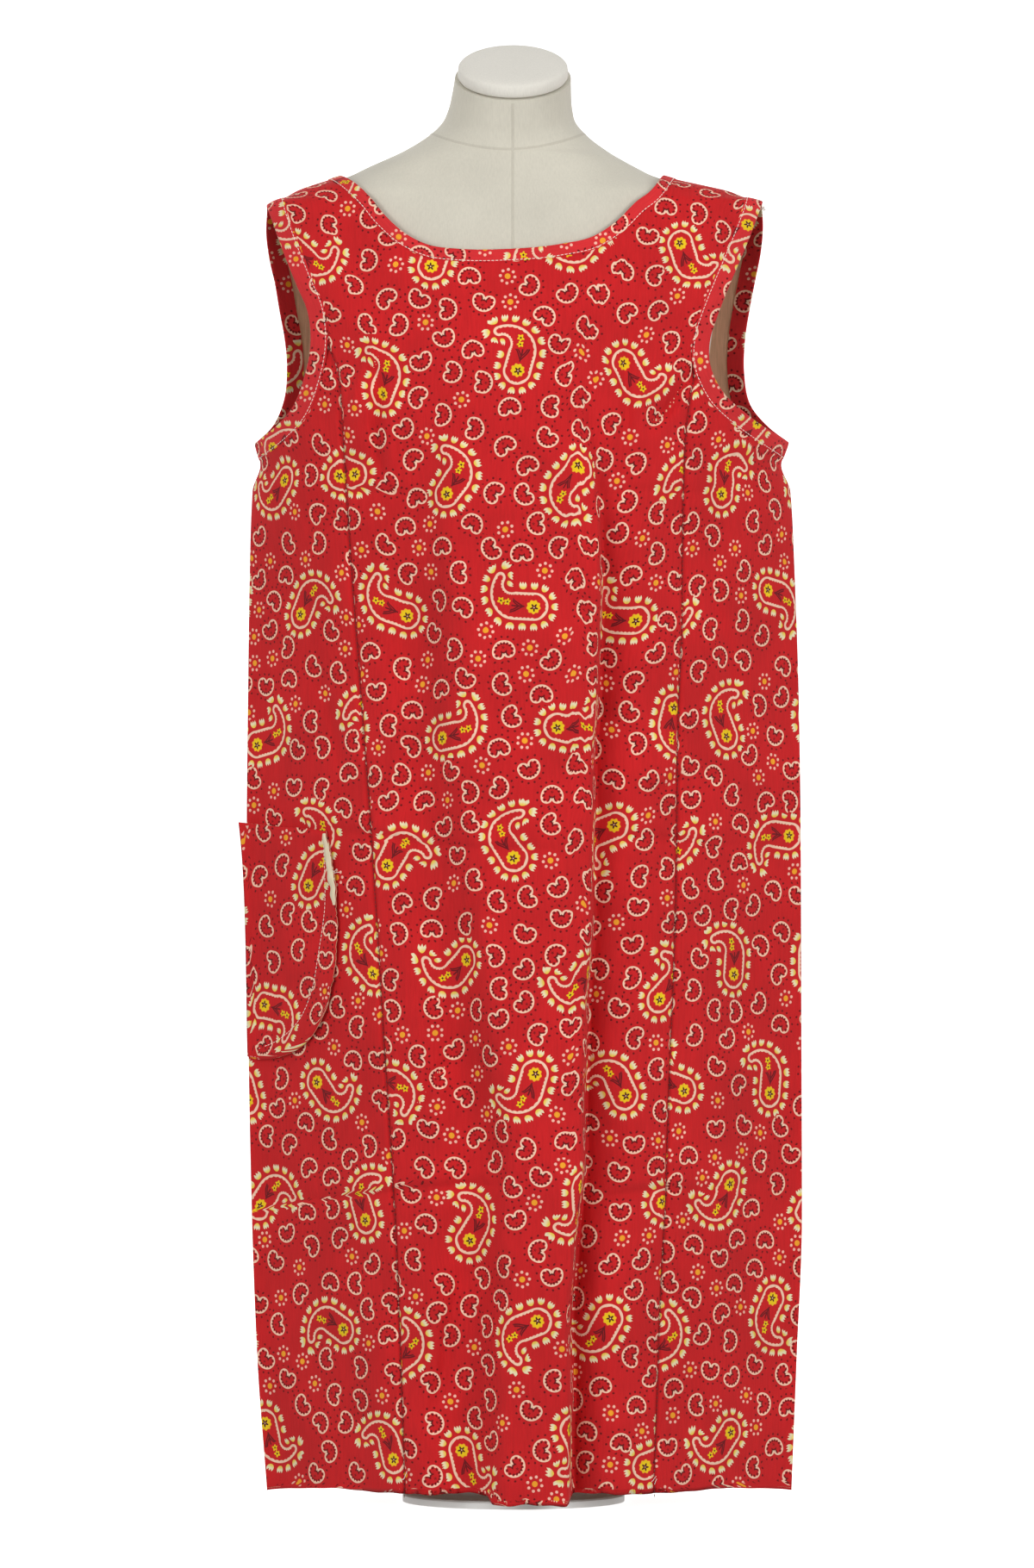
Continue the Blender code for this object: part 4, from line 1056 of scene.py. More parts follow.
def printed_nonwoven(name, ground):
    """The printed side: red ground and the motifs' inks over the ribs."""
    made, shader = blank_material(name)
    tree = made.node_tree
    put = partial(add, tree)
    flat, ribs = crepe_ribs(tree, 0.6)
    cloudy = put("TexNoise", flat, noise_dimensions="2D", named={"Scale": 1 / 45.0, "Detail": 2.0})
    fibres = put("TexNoise", flat, noise_dimensions="2D", named={"Scale": 1 / 0.6, "Detail": 1.0})

    place = put("VectorMath:SCALE", put("UVMap", uv_map="motif"), named={"Scale": 1000.0})
    coded, y = put("SeparateXYZ", place).node.outputs[:2]
    kind = put("Math:ROUND", put("Math:DIVIDE", coded, KIND_SHIFT))
    x = put("Math:MULTIPLY_ADD", kind, -KIND_SHIFT, coded)
    paint = paint_paisley(tree, linear(ground), x, y, put("Math:COMPARE", kind, float(PAISLEY), 0.5))
    paint = paint_bean(tree, paint, x, y, put("Math:COMPARE", kind, float(BEAN), 0.5))
    paint = paint_rosette(tree, paint, x, y, put("Math:COMPARE", kind, float(ROSETTE), 0.5))

    streaks = put("MapRange", ribs, 0.3, 0.7, 0.93, 1.04)
    blotch = put("MapRange", cloudy, 0.3, 0.7, 0.93, 1.05)
    paint = put("VectorMath:SCALE", paint, named={"Scale": put("Math:MULTIPLY", streaks, blotch)})
    relief = put("Math:MULTIPLY_ADD", fibres, 0.25, ribs)
    set_surface(shader, paint, relief, 0.30, 0.0006, {
        "Specular IOR Level": 0.14, "Sheen Weight": 0.03, "Sheen Roughness": 0.45,
        "Sheen Tint": linear("#F2B8A8"),
    })
    tree.links.new(put("MapRange", fibres, 0.3, 0.7, 0.76, 0.90), shader.inputs["Roughness"])
    return made


def bare_nonwoven(name, hex_code):
    """The unprinted inner side: the sheet's own tan, with the same ribs."""
    made, shader = blank_material(name)
    tree = made.node_tree
    ribs = crepe_ribs(tree, 0.5)[1]
    shade = add(tree, "MapRange", ribs, 0.3, 0.7, 0.88, 1.06)
    paint = shaded(tree, hex_code, shade)
    set_surface(shader, paint, ribs, 0.35, 0.0006, {"Roughness": 0.85, "Specular IOR Level": 0.25})
    return made


printed_side = printed_nonwoven("printed_side_of_nonwoven", RED_GROUND)
printed_band = printed_nonwoven("printed_nonwoven_on_the_bias", "#D02A2E")
inner_side = bare_nonwoven("bare_inner_side_of_nonwoven", "#DDAE8E")
print("cloth sides", printed_side.name, inner_side.name)

# %% [markdown]
# ## Cloth pieces as two thin layers
# A panel is a grid of points between its own seams, laid on the face. Its printed layer is the face
# itself and its bare layer lies half a millimetre inside, joined round the edges, because real cloth
# has two sides and shows its cut edge. Along each sewn edge the layer dips a little, so two panels
# meet in the small groove that a seam makes.

# %% Grids into cloth
CLOTH_THICK = 0.0005
SEAM_DIP = 0.0022
SEAM_DIP_HALF = 0.0017


def summed(steps, directions, axis):
    """How far a walk along an axis gets in a direction that turns with the cloth."""
    gained = np.sum(np.diff(steps, axis=axis) * np.delete(directions, -1, axis=axis), axis=-1)
    return np.insert(np.cumsum(gained, axis=axis), 0, 0, axis=axis)


def flat_measures(outer, middle, side):
    """The flat cloth's own measures: the way round the body, and the way up and over the shoulder."""
    normal = unit(np.cross(np.gradient(outer, axis=1), np.gradient(outer, axis=0)))
    normal = normal * np.sign(np.mean(normal[..., 1] * side))
    flatness = np.abs(normal[..., 2])
    up = np.stack([0 * flatness, -side * flatness, 1 - flatness], axis=-1)
    up = unit(up - normal * np.sum(up * normal, axis=-1, keepdims=True))
    over = np.cross(up, normal)
    round_it = summed(outer, over, 1)
    u = round_it - round_it[:, [middle]] + summed(outer, over, 0)[:, [middle]]
    v = summed(outer, up, 0) + summed(outer, up, 1)[:1]
    return np.stack([u, v], axis=-1)


def grid_faces(rows, columns, shift=0, flip=False, closed=False):
    """Four-cornered faces of a grid. Closed joins the last row to the first."""
    faces = []
    for r in range(rows if closed else rows - 1):
        for c in range(columns - 1):
            up = (r + 1) % rows
            quad = (r * columns + c, r * columns + c + 1, up * columns + c + 1, up * columns + c)
            quad = tuple(shift + k for k in quad)
            faces.append(quad[::-1] if flip else quad)
    return faces


def save_mesh(name, points, faces, finishes, index, uvs):
    """A new object from points and faces. Uvs are named arrays with one row for each corner."""
    mesh = bpy.data.meshes.new(name)
    mesh.from_pydata(points.tolist(), [], faces)
    for finish in finishes:
        mesh.materials.append(finish)
    mesh.polygons.foreach_set("material_index", index)
    for layer_name, values in uvs.items():
        mesh.uv_layers.new(name=layer_name).data.foreach_set("uv", values.ravel())
    mesh.shade_smooth()
    return placed(name, mesh)


def motif_uvs(faces, flat, seed):
    """The motif UVs, in metres, of four-cornered faces, from a layout over the whole piece."""
    corners = flat[np.array(faces)] * 1000
    low, high = corners.reshape(-1, 2).min(axis=0), corners.reshape(-1, 2).max(axis=0)
    return motif_places(corners, lay_out(low, high, seed)).reshape(-1, 2) / 1000


def cloth_piece(name, outer, inner, flat, seed, side):
    """A printed layer, a bare one under it, and the cut edge that closes them."""
    rows, columns = outer.shape[:2]
    count = rows * columns
    turned = side > 0
    printed = grid_faces(rows, columns, flip=turned)
    bare = grid_faces(rows, columns, count, not turned)
    number = np.arange(count).reshape(rows, columns)
    rim = [*number[:, 0], *number[-1, 1:], *number[-2::-1, -1], *number[0, -2:0:-1]]
    rim = [int(k) for k in rim]
    edge = []
    for i, n in zip(rim, rim[1:] + rim[:1]):
        quad = (i, n, count + n, count + i)
        edge.append(quad[::-1] if turned else quad)
    points = np.concatenate([outer.reshape(-1, 3), inner.reshape(-1, 3)])
    all_flat = np.tile(flat.reshape(-1, 2), (2, 1))
    faces = printed + bare + edge
    motif = np.full((len(faces) * 4, 2), BARE_PLACE / 1000)
    motif[: len(printed) * 4] = motif_uvs(printed, all_flat, seed)
    index = [0] * len(printed) + [1] * (len(bare) + len(edge))
    uvs = {"flat_cloth": all_flat[np.array(faces)].reshape(-1, 2), "motif": motif}
    return save_mesh(name, points, faces, (printed_side, inner_side), index, uvs)


def layers(plan, side, out=0.0, thick=CLOTH_THICK):
    """The printed layer's points and the bare layer's."""
    return on_face(plan, side, out), on_face(plan, side, np.asarray(out) - thick)


print("cloth is", CLOTH_THICK * 1000, "mm thick here")

# %% [markdown]
# ## The front's centre panel and side panels
# Each panel is a patch between its own edges. The centre one runs between the two long seams, then
# inside the armholes' bands and along the inside of the neck's band. Rows and columns crowd where
# the creases, the sharp fold and the seams need them, which costs fewer points than a fine grid
# everywhere.

# %% Patches between edges
STRAP_SHARE = 0.16
SKIRT_STEPS = 244
ARM_STEPS = 40
CREASE_HEIGHTS = ((0.262, 0.012), (0.571, 0.012), (0.874, 0.012), (0.985, 0.02))


def crowded(count, peaks):
    """Shares from 0 to 1 that crowd at the peaks, each a place, a half width and how strongly."""
    at = np.linspace(0, 1, 4000)
    weight = np.ones_like(at)
    for place, half, strength in peaks:
        weight += strength * np.exp(-(((at - place) / half) ** 2))
    total = np.concatenate([[0], np.cumsum((weight[1:] + weight[:-1]) / 2)])
    return np.interp(np.linspace(0, total[-1], count), total, at)


SKIRT_ROWS = crowded(SKIRT_STEPS, [(place, half, 0.8) for place, half in CREASE_HEIGHTS])
ARM_ROWS = np.linspace(0, 1, ARM_STEPS)


def patch(left, right, bottom, top, across, low, high):
    """Rows between four edges. Low and high are each row's share of the ends' shape."""
    across = np.asarray(across)[None, :, None]
    rows = left[:, None, :] * (1 - across) + right[:, None, :] * across
    return rows + low[:, None, None] * (bottom - rows[0]) + high[:, None, None] * (top - rows[-1])


def rise_share(line, power, start=0):
    """Each row's share of the height from a start up."""
    share = (line[:, 1] - line[start, 1]) / (line[-1, 1] - line[start, 1])
    return np.clip(share, 0, 1) ** power


def fall_share(line, power):
    return (1 - rise_share(line, 1)) ** power


def skirt_heights(top):
    return HEM_HEIGHT + (top - HEM_HEIGHT) * SKIRT_ROWS


def armhole_end(rows, into):
    """Where a panel ends, tucked a little under the armhole's band."""
    return moved_in(edge_line(rows), ARMHOLE_BAND - TUCKED_UNDER, into)


def long_seam(seam_rows, arm):
    """A long seam from the hem to the armhole, and the armhole's share where it ends."""
    nearest = np.linalg.norm(arm - np.array(seam_rows[-1]), axis=1)
    share = int(np.argmin(nearest)) / (len(arm) - 1)
    end = pick(arm, [share])[0]
    rows = list(seam_rows[:-1]) + [tuple(end)]
    heights = skirt_heights(end[1])
    return np.stack([smooth_column(column(rows, 1), column(rows, 0), heights), heights], axis=-1), share


def centre_edge(seam_rows, armhole_rows, into):
    """An edge of the centre panel: the long seam, then the armhole up to the ridge."""
    arm = armhole_end(armhole_rows, into)
    seam, share = long_seam(seam_rows, arm)
    return np.concatenate([seam, pick(arm, climb(arm, share, ARM_ROWS)[1:])])


def top_line(neckline, left_ridge, right_ridge, across):
    """The panel's top: shoulder, under the neck's band, shoulder."""
    neck = moved_in(edge_line(neckline, (True, True)), NECK_BAND - TUCKED_UNDER, -1, (True, True))
    points = []
    for share in across:
        if share < STRAP_SHARE:
            points.append(on_ridge(left_ridge + (neck[0, 0] - left_ridge) * share / STRAP_SHARE))
        elif share > 1 - STRAP_SHARE:
            rest = (1 - share) / STRAP_SHARE
            points.append(on_ridge(right_ridge + (neck[-1, 0] - right_ridge) * rest))
        else:
            points.append(pick(neck, [(share - STRAP_SHARE) / (1 - 2 * STRAP_SHARE)])[0])
    return np.array(points)


def dip_at(line_gap, fade=1.0):
    return -SEAM_DIP * np.exp(-((line_gap / SEAM_DIP_HALF) ** 2)) * fade


print("rows up the front", SKIRT_STEPS + ARM_STEPS - 1)


def front_centre():
    left = centre_edge(PRINCESS_LEFT, ARMHOLE_LEFT_FRONT, -1)
    right = centre_edge(PRINCESS_RIGHT, ARMHOLE_RIGHT_FRONT, 1)
    ends = [(0.0, 0.016, 3.5), (1.0, 0.016, 3.5), (0.76, 0.06, 1.6), (STRAP_SHARE, 0.02, 1.0),
            (1 - STRAP_SHARE, 0.02, 1.0)]
    across = np.unique(np.concatenate([crowded(158, ends), [STRAP_SHARE, 1 - STRAP_SHARE]]))
    bottom = hem_line(left[0, 0], right[0, 0], across, -1)
    left[0], right[0] = bottom[0], bottom[-1]
    top = top_line(NECKLINE_FRONT, left[-1, 0], right[-1, 0], across)
    rise = rise_share(left, 1, SKIRT_STEPS - 1)
    plan = patch(left, right, bottom, top, across, fall_share(left, 6), rise)
    seam_fade = np.clip((SKIRT_STEPS + 4 - np.arange(len(plan))) / 6, 0, 1)[:, None]
    gap = np.minimum(plan[..., 0] - plan[:, :1, 0], plan[:, -1:, 0] - plan[..., 0])
    outer, inner = layers(plan, -1, dip_at(gap, seam_fade))
    flat = flat_measures(outer, int(np.argmin(np.abs(plan[20, :, 0]))), -1)
    return cloth_piece("front_centre_cloth", outer, inner, flat, 11, -1)


centre_cloth = front_centre()

# %% Side panels
def front_side(name, sign, seam_rows, armhole_rows, into):
    """From the long seam out to the side, and up to the armhole's band."""
    arm = armhole_end(armhole_rows, into)
    seam, share = long_seam(seam_rows, arm)
    across = crowded(64, [(0.0, 0.03, 3.0), (1.0, 0.06, 2.0)])
    top = pick(arm, share * (1 - across))
    top[0] = seam[-1]
    side = side_line(sign, skirt_heights(top[-1, 1]))
    side[-1] = top[-1]
    bottom = hem_line(seam[0, 0], side[0, 0], across, -1)
    seam[0] = bottom[0]
    plan = patch(seam, side, bottom, top, across, fall_share(seam, 6), rise_share(seam, 5))
    gap = np.abs(plan[..., 0] - plan[:, :1, 0])
    outer, inner = layers(plan, -1, dip_at(gap))
    flat = flat_measures(outer, 0, -1)
    if sign < 0:
        outer, inner, flat = outer[:, ::-1], inner[:, ::-1], flat[:, ::-1]
    return cloth_piece(name, outer, inner, flat, 20 + sign, -1)


left_cloth = front_side("front_side_left_cloth", -1, PRINCESS_LEFT, ARMHOLE_LEFT_FRONT, -1)
right_cloth = front_side("front_side_right_cloth", 1, PRINCESS_RIGHT, ARMHOLE_RIGHT_FRONT, 1)

# %% [markdown]
# ## The back
# The picture doesn't show the back, so it is the plainest one that such a dress has: a single panel
# without a zip, with three soft folds that grow towards the hem and the same pressed creases.

# %% Back panel
def back_panel():
    edges = []
    for sign, rows, into in ((-1, ARMHOLE_LEFT_BACK, -1), (1, ARMHOLE_RIGHT_BACK, 1)):
        arm = armhole_end(rows, into)
        arm = pick(arm, climb(arm, 0, ARM_ROWS))
        edges.append(np.concatenate([side_line(sign, skirt_heights(arm[0, 1]))[:-1], arm]))
    left, right = edges
    across = crowded(168, [(0.0, 0.03, 1.0), (1.0, 0.03, 1.0), (STRAP_SHARE, 0.02, 0.6)])
    across = np.unique(np.concatenate([across, [STRAP_SHARE, 1 - STRAP_SHARE]]))
    bottom = hem_line(left[0, 0], right[0, 0], across, 1)
    top = top_line(NECKLINE_BACK, left[-1, 0], right[-1, 0], across)
    rise = rise_share(left, 1, SKIRT_STEPS - 1)
    plan = patch(left, right, bottom, top, across, fall_share(left, 6), rise)
    outer, inner = layers(plan, 1)
    flat = flat_measures(outer, len(across) // 2, 1)
    return cloth_piece("back_cloth", outer, inner, flat, 31, 1)


back_cloth = back_panel()

# %% [markdown]
# ## Bindings
# The armholes and the neckline are finished with strips folded over the raw edge, 13 mm and 9.5 mm
# wide. In section such a strip lies on the cloth, rolls round the edge and lies flat inside. That
# section is a short table, and it is swept along the edge over the shoulder.

# %% Folded bindings
BINDING_SECTION = (
    # share of the width from the edge inwards, distance out from the face in mm
    (0.93, -1.05), (0.60, -1.10), (0.25, -1.05), (0.08, -0.95), (0.015, -0.65), (-0.02, -0.20),
    (0.01, 0.22), (0.06, 0.48), (0.15, 0.62), (0.35, 0.68), (0.60, 0.66), (0.80, 0.60),
    (0.88, 0.50), (0.92, 0.36), (0.96, 0.50), (0.985, 0.46), (1.0, 0.10),
)
BINDING_STEPS = 120


def binding_points(edge, inner, side):
    """Rows of the folded strip's section along an edge."""
    shares = np.array([row[0] for row in BINDING_SECTION])[None, :, None]
    out = np.array([row[1] for row in BINDING_SECTION])[None, :] / 1000
    plan = edge[:, None, :] * (1 - shares) + inner[:, None, :] * shares
    pucker = 0.00012 * np.sin(distance_along(edge) / 0.0031 * 2 * math.pi)[:, None]
    return on_face(plan, side, out + pucker * (shares[..., 0] > 0.5))


def over_the_ridge(front, back, closed=False):
    """Joins a front and a back run of rows that meet on the shoulder's ridge."""
    last = (front[-1:] + back[-1:]) / 2
    if closed:
        first = (front[:1] + back[:1]) / 2
        return np.concatenate([first, front[1:-1], last, back[1:-1][::-1]])
    return np.concatenate([front[:-1], last, back[:-1][::-1]])


def strip_piece(name, points, finish, seed=0, closed=False):
    """One layer swept along an edge, with the strip's own measures as its UVs."""
    rows, columns = points.shape[:2]
    run = distance_along(points[:, columns // 2])
    width = distance_along(points[rows // 2])
    faces = grid_faces(rows, columns, closed=closed)
    flat = np.stack(np.meshgrid(width, run), axis=-1).reshape(-1, 2)
    uvs = {"flat_cloth": flat[np.array(faces)].reshape(-1, 2)}
    if seed:
        uvs["motif"] = motif_uvs(faces, flat, seed)
    return save_mesh(name, points.reshape(-1, 3), faces, (finish,), [0] * len(faces), uvs)


def armhole_runs(rows, into):
    edge = edge_line(rows)
    inner = moved_in(edge, ARMHOLE_BAND, into)
    shares = climb(edge, 0, np.linspace(0, 1, BINDING_STEPS))
    return pick(edge, shares), pick(inner, shares)


def armhole_binding(name, front_rows, back_rows, into):
    sides = ((front_rows, -1), (back_rows, 1))
    runs = [binding_points(*armhole_runs(rows, into), side) for rows, side in sides]
    return strip_piece(name, over_the_ridge(*runs), printed_band, 50 + into)


def neck_runs(rows):
    edge = edge_line(rows, (True, True))
    inner = moved_in(edge, NECK_BAND, -1, (True, True))
    shares = 0.5 - 0.5 * np.cos(np.linspace(0, math.pi, 2 * BINDING_STEPS))
    return pick(edge, shares), pick(inner, shares)


def neck_binding():
    sides = ((NECKLINE_FRONT, -1), (NECKLINE_BACK, 1))
    runs = [binding_points(*neck_runs(rows), side) for rows, side in sides]
    return strip_piece("neck_binding", over_the_ridge(*runs, closed=True), printed_band, 53, True)


left_binding = armhole_binding("armhole_binding_left", ARMHOLE_LEFT_FRONT, ARMHOLE_LEFT_BACK, -1)
right_binding = armhole_binding("armhole_binding_right", ARMHOLE_RIGHT_FRONT, ARMHOLE_RIGHT_BACK, 1)
neck_strip = neck_binding()
print("bindings", left_binding.name, right_binding.name, neck_strip.name)

# %% [markdown]
# ## Stitches
# White machine stitches about 3 mm long hold the bindings and the pocket. They could be a dashed
# line in the shader, but real beads of thread catch the light, so each one is a small spindle whose
# ends dip into the cloth. The long front seams get a row of near-black red ones in their dip, which
# are painted shade: they draw the seam's shadow line.

# %% Stitching
STITCH_PITCH = 0.0031
STITCH_LONG = 0.0023
STITCH_HALF = 0.00030
SPINDLE = ((0.0, 0.25), (0.12, 0.8), (0.5, 1.0), (0.88, 0.8), (1.0, 0.25))
SPINDLE_SIDES = 6
STITCH_PLACE = 0.90
STITCH_OUT = 0.00055
SEWN_SHARE = 0.55


def cotton_thread(name, hex_code):
    """Twisted cotton: matt, with a fine twist that breaks the light."""
    made, shader = blank_material(name)
    put = partial(add, made.node_tree)
    place = put("NewGeometry").node.outputs["Position"]
    twist = put("TexNoise", place, named={"Scale": 1400.0, "Detail": 1.0})
    shade = put("MapRange", twist, 0.3, 0.7, 0.9, 1.05)
    paint = shaded(made.node_tree, hex_code, shade)
    set_surface(shader, paint, twist, 0.4, 0.0002, {"Roughness": 0.8})
    return made


def tube_faces(rings, steps):
    """Faces of a tube of rings, with its two ends closed."""
    faces = []
    for low in range(0, (rings - 1) * steps, steps):
        for c in range(steps):
            d = (c + 1) % steps
            faces.append((low + c, low + d, low + steps + d, low + steps + c))
    last = (rings - 1) * steps
    return faces + [tuple(range(steps))[::-1], tuple(range(last, last + steps))]


def tube_between(start, end, radii, up):
    """Rings of a small spindle from start to end. Returns its points and faces."""
    way = (end - start) / np.linalg.norm(end - start)
    aside = np.cross(way, up)
    aside /= np.linalg.norm(aside)
    lift = np.cross(aside, way)
    turn = np.linspace(0, 2 * math.pi, SPINDLE_SIDES, endpoint=False)
    points = []
    for share, size in radii:
        middle = start + (end - start) * share
        ring = np.outer(np.cos(turn), aside) + np.outer(np.sin(turn), lift)
        points.append(middle + ring * STITCH_HALF * size)
    return np.concatenate(points), tube_faces(len(radii), SPINDLE_SIDES)


def joined(parts):
    """Several lots of points and faces as one."""
    points, faces, count = [], [], 0
    for more, sides in parts:
        faces += [tuple(k + count for k in face) for face in sides]
        points.append(more)
        count += len(more)
    return np.concatenate(points), faces


def stitch_row(line, normals):
    """Spindles along a line of points with the ways out at those points."""
    length = distance_along(line)
    spindles = []
    for start in np.arange(0.001, length[-1] - STITCH_LONG, STITCH_PITCH):
        ends = [np.array([np.interp(at, length, line[:, k]) for k in range(3)])
                for at in (start, start + STITCH_LONG)]
        up = np.array([np.interp(start, length, normals[:, k]) for k in range(3)])
        spindles.append(tube_between(ends[0], ends[1], SPINDLE, up))
    return joined(spindles)


def plain_piece(name, points, faces, finish):
    """A new smooth object with one material and no UVs."""
    mesh = bpy.data.meshes.new(name)
    mesh.from_pydata(points.tolist(), [], faces)
    mesh.materials.append(finish)
    mesh.shade_smooth()
    return placed(name, mesh)


def stitch_piece(name, runs, finish):
    return plain_piece(name, *joined([stitch_row(*run) for run in runs]), finish)


def line_on_face(plan, side, out):
    """A line laid on the face, with the ways out along it."""
    x, z = plan[:, 0], plan[:, 1]
    return on_face(plan, side, out), outward(x, side * depth_at(x, z, side), z, side)


def seam_shadow_sewing(name, seam_rows, armhole_rows, into):
    """Dark red stitches in the dip between a long seam's two panels: painted shade for its shadow line.
    """
    plan, share = long_seam(seam_rows, armhole_end(armhole_rows, into))
    drawn_in = -SEWN_SHARE * SEAM_DIP * np.ones(len(plan))
    return stitch_piece(name, [line_on_face(plan, -1, drawn_in)], seam_shadow_thread)


white_thread = cotton_thread("white_cotton_thread", "#F2E6DA")
# Painted shade: this near-black red thread stands in for the shadow line of the long front seams.
seam_shadow_thread = cotton_thread("dark_red_thread_as_seam_shadow", "#4C0B10")
seam_shadow_threads = (
    seam_shadow_sewing("seam_shadow_stitches_left", PRINCESS_LEFT, ARMHOLE_LEFT_FRONT, -1),
    seam_shadow_sewing("seam_shadow_stitches_right", PRINCESS_RIGHT, ARMHOLE_RIGHT_FRONT, 1),
)


def binding_stitches():
    """Stitches near the inner edge of every binding."""
    runs = []
    sources = [armhole_runs(rows, into) + (side,) for rows, into, side in (
        (ARMHOLE_LEFT_FRONT, -1, -1), (ARMHOLE_LEFT_BACK, -1, 1),
        (ARMHOLE_RIGHT_FRONT, 1, -1), (ARMHOLE_RIGHT_BACK, 1, 1),
    )]
    sources += [neck_runs(NECKLINE_FRONT) + (-1,), neck_runs(NECKLINE_BACK) + (1,)]
    for edge, inner, side in sources:
        plan = edge * (1 - STITCH_PLACE) + inner * STITCH_PLACE
        runs.append(line_on_face(plan, side, STITCH_OUT))
    return stitch_piece("binding_stitches", runs, white_thread)


band_stitches = binding_stitches()
print("stitch faces", len(band_stitches.data.polygons))

# %% [markdown]
# ## The pocket
# One patch pocket sits on the wearer's right hip. It is cut from the same cloth, sewn down by a
# curved row of stitches, and its raw edge stands free beyond them. At the top of that edge a narrow
# strip has turned over and shows its bare side.

# %% Pocket
POCKET_TOP = 0.5200
POCKET_BOTTOM = 0.3380
POCKET_GAPE = 0.0040
POCKET_LIFT = 0.0013
STRIP_POINTS = 60
POCKET_RIGHT = (
    # x, z, down the free edge and round to the side seam
    (-0.1415, 0.5130), (-0.1350, 0.4850), (-0.1325, 0.4550), (-0.1340, 0.4100),
    (-0.1400, 0.3800), (-0.1500, 0.3590), (-0.1640, 0.3460), (-0.1790, 0.3400),
    (-0.1960, 0.3380),
)
POCKET_STITCHES = (
    # x, z, down the sewn line and round to the side seam
    (-0.1440, 0.5100), (-0.1428, 0.4850), (-0.1426, 0.4570), (-0.1478, 0.4190), (-0.1525, 0.3930),
    (-0.1637, 0.3680), (-0.1800, 0.3530), (-0.1960, 0.3460),
)


def pocket_lift(x, z):
    """How far the pocket's layer lies from the face, gaping at its mouth and free edge."""
    up = np.clip((z - POCKET_BOTTOM) / (POCKET_TOP - POCKET_BOTTOM), 0, 1)
    sewn = smooth_column(column(POCKET_STITCHES[::-1], 1), column(POCKET_STITCHES[::-1], 0), z)
    outside = np.clip(x - sewn, 0, 0.02)
    mouth = POCKET_GAPE * up**6 * np.clip((sewn - x) / 0.04, 0, 1) ** 0.8
    sway = 0.0007 * np.sin(z * 210) * np.clip(outside / 0.006, 0, 1)
    off_stitch = 0.0007 * (1 - np.exp(-(((x - sewn) / 0.003) ** 2)))
    return POCKET_LIFT + mouth + 0.10 * outside + sway * 0.8 + off_stitch


def pocket_patch():
    """The pocket in the front view, with a frayed free edge."""
    across = np.linspace(0, 1, 56)
    share = np.linspace(0, 1, 72)
    free_edge = along(POCKET_RIGHT[::-1], np.linspace(0, 1, 240))
    corner = int(len(free_edge) * 0.38)
    bottom = along(free_edge[: corner + 1], across)
    left = side_line(-1, POCKET_BOTTOM + (POCKET_TOP - POCKET_BOTTOM) * share)
    left[0] = bottom[0]
    left[:, 0] -= 0.0026 * share**3
    right = along(free_edge[corner:], share)
    frayed = np.random.default_rng(3).normal(0, 0.00028, len(right))
    right[1:-1, 0] += frayed[1:-1]
    top = left[-1] * (1 - across[:, None]) + right[-1] * across[:, None]
    return patch(left, right, bottom, top, across, 1 - share, share)


def pocket_piece():
    plan = pocket_patch()
    outer, inner = layers(plan, -1, pocket_lift(plan[..., 0], plan[..., 1]))
    return cloth_piece("pocket_cloth", outer, inner, flat_measures(outer, 0, -1), 41, -1)


pocket_cloth = pocket_piece()


def pocket_sewing():
    plan = along(POCKET_STITCHES, np.linspace(0, 1, 200))
    lift = pocket_lift(plan[:, 0], plan[:, 1]) + 0.00015
    return stitch_piece("pocket_stitches", [line_on_face(plan, -1, lift)], white_thread)


pocket_stitches = pocket_sewing()


def turned_strip():
    """The torn strip beside the pocket, curling outwards with its bare side up."""
    edge = along(POCKET_RIGHT[:4], np.linspace(0.02, 0.54, STRIP_POINTS))
    shares = np.linspace(0, 1, 9)
    width = 0.0054 * np.sin(np.linspace(0.25, math.pi - 0.12, STRIP_POINTS)) ** 0.5
    width = width * (1 + 0.10 * np.sin(np.linspace(0, 23, STRIP_POINTS)))
    sway = 0.0004 * np.sin(np.linspace(0, 31, STRIP_POINTS))
    rows = []
    for share in shares:
        plan = edge + np.stack([-width * (1 - share), np.zeros(STRIP_POINTS)], axis=-1)
        curl = 0.0010 + 0.0016 * math.sin(math.pi * share) + sway
        rows.append(on_face(plan, -1, pocket_lift(plan[:, 0], plan[:, 1]) + curl))
    return strip_piece("turned_pocket_strip", np.stack(rows, axis=1), cream_side)


cream_side = bare_nonwoven("worn_bare_side_of_nonwoven", "#D8C9AC")
pocket_strip = turned_strip()
print("pocket pieces", pocket_cloth.name, pocket_stitches.name, pocket_strip.name)

# %% [markdown]
# ## The dress form
# The form is a padded shell in tight off-white jersey: a torso that narrows at the waist and a neck
# that leans forward. A maker would loft it through rings, and so does this: the torso's sections and
# the neck's tilted rings are rows of one table, and a smooth curve through them gives as many rings
# as the eye needs.

# %% Torso and neck
FORM_STEPS = 132
FORM_RINGS = 190
NECK_RINGS = (
    # z, middle x, middle y, half width, half depth, tilt in degrees
    (1.0340, -0.0060, -0.0045, 0.0769, 0.0600, 1.5),
    (1.0410, -0.0050, -0.0060, 0.0660, 0.0575, 3.5),
    (1.0475, -0.0040, -0.0080, 0.0578, 0.0555, 6.0),
    (1.0545, -0.0035, -0.0100, 0.0512, 0.0540, 9.5),
    (1.0640, -0.0025, -0.0125, 0.0475, 0.0530, 14.0),
    (1.0760, -0.0015, -0.0150, 0.0455, 0.0522, 19.0),
    (1.0885, -0.0005, -0.0172, 0.0443, 0.0520, 23.0),
)


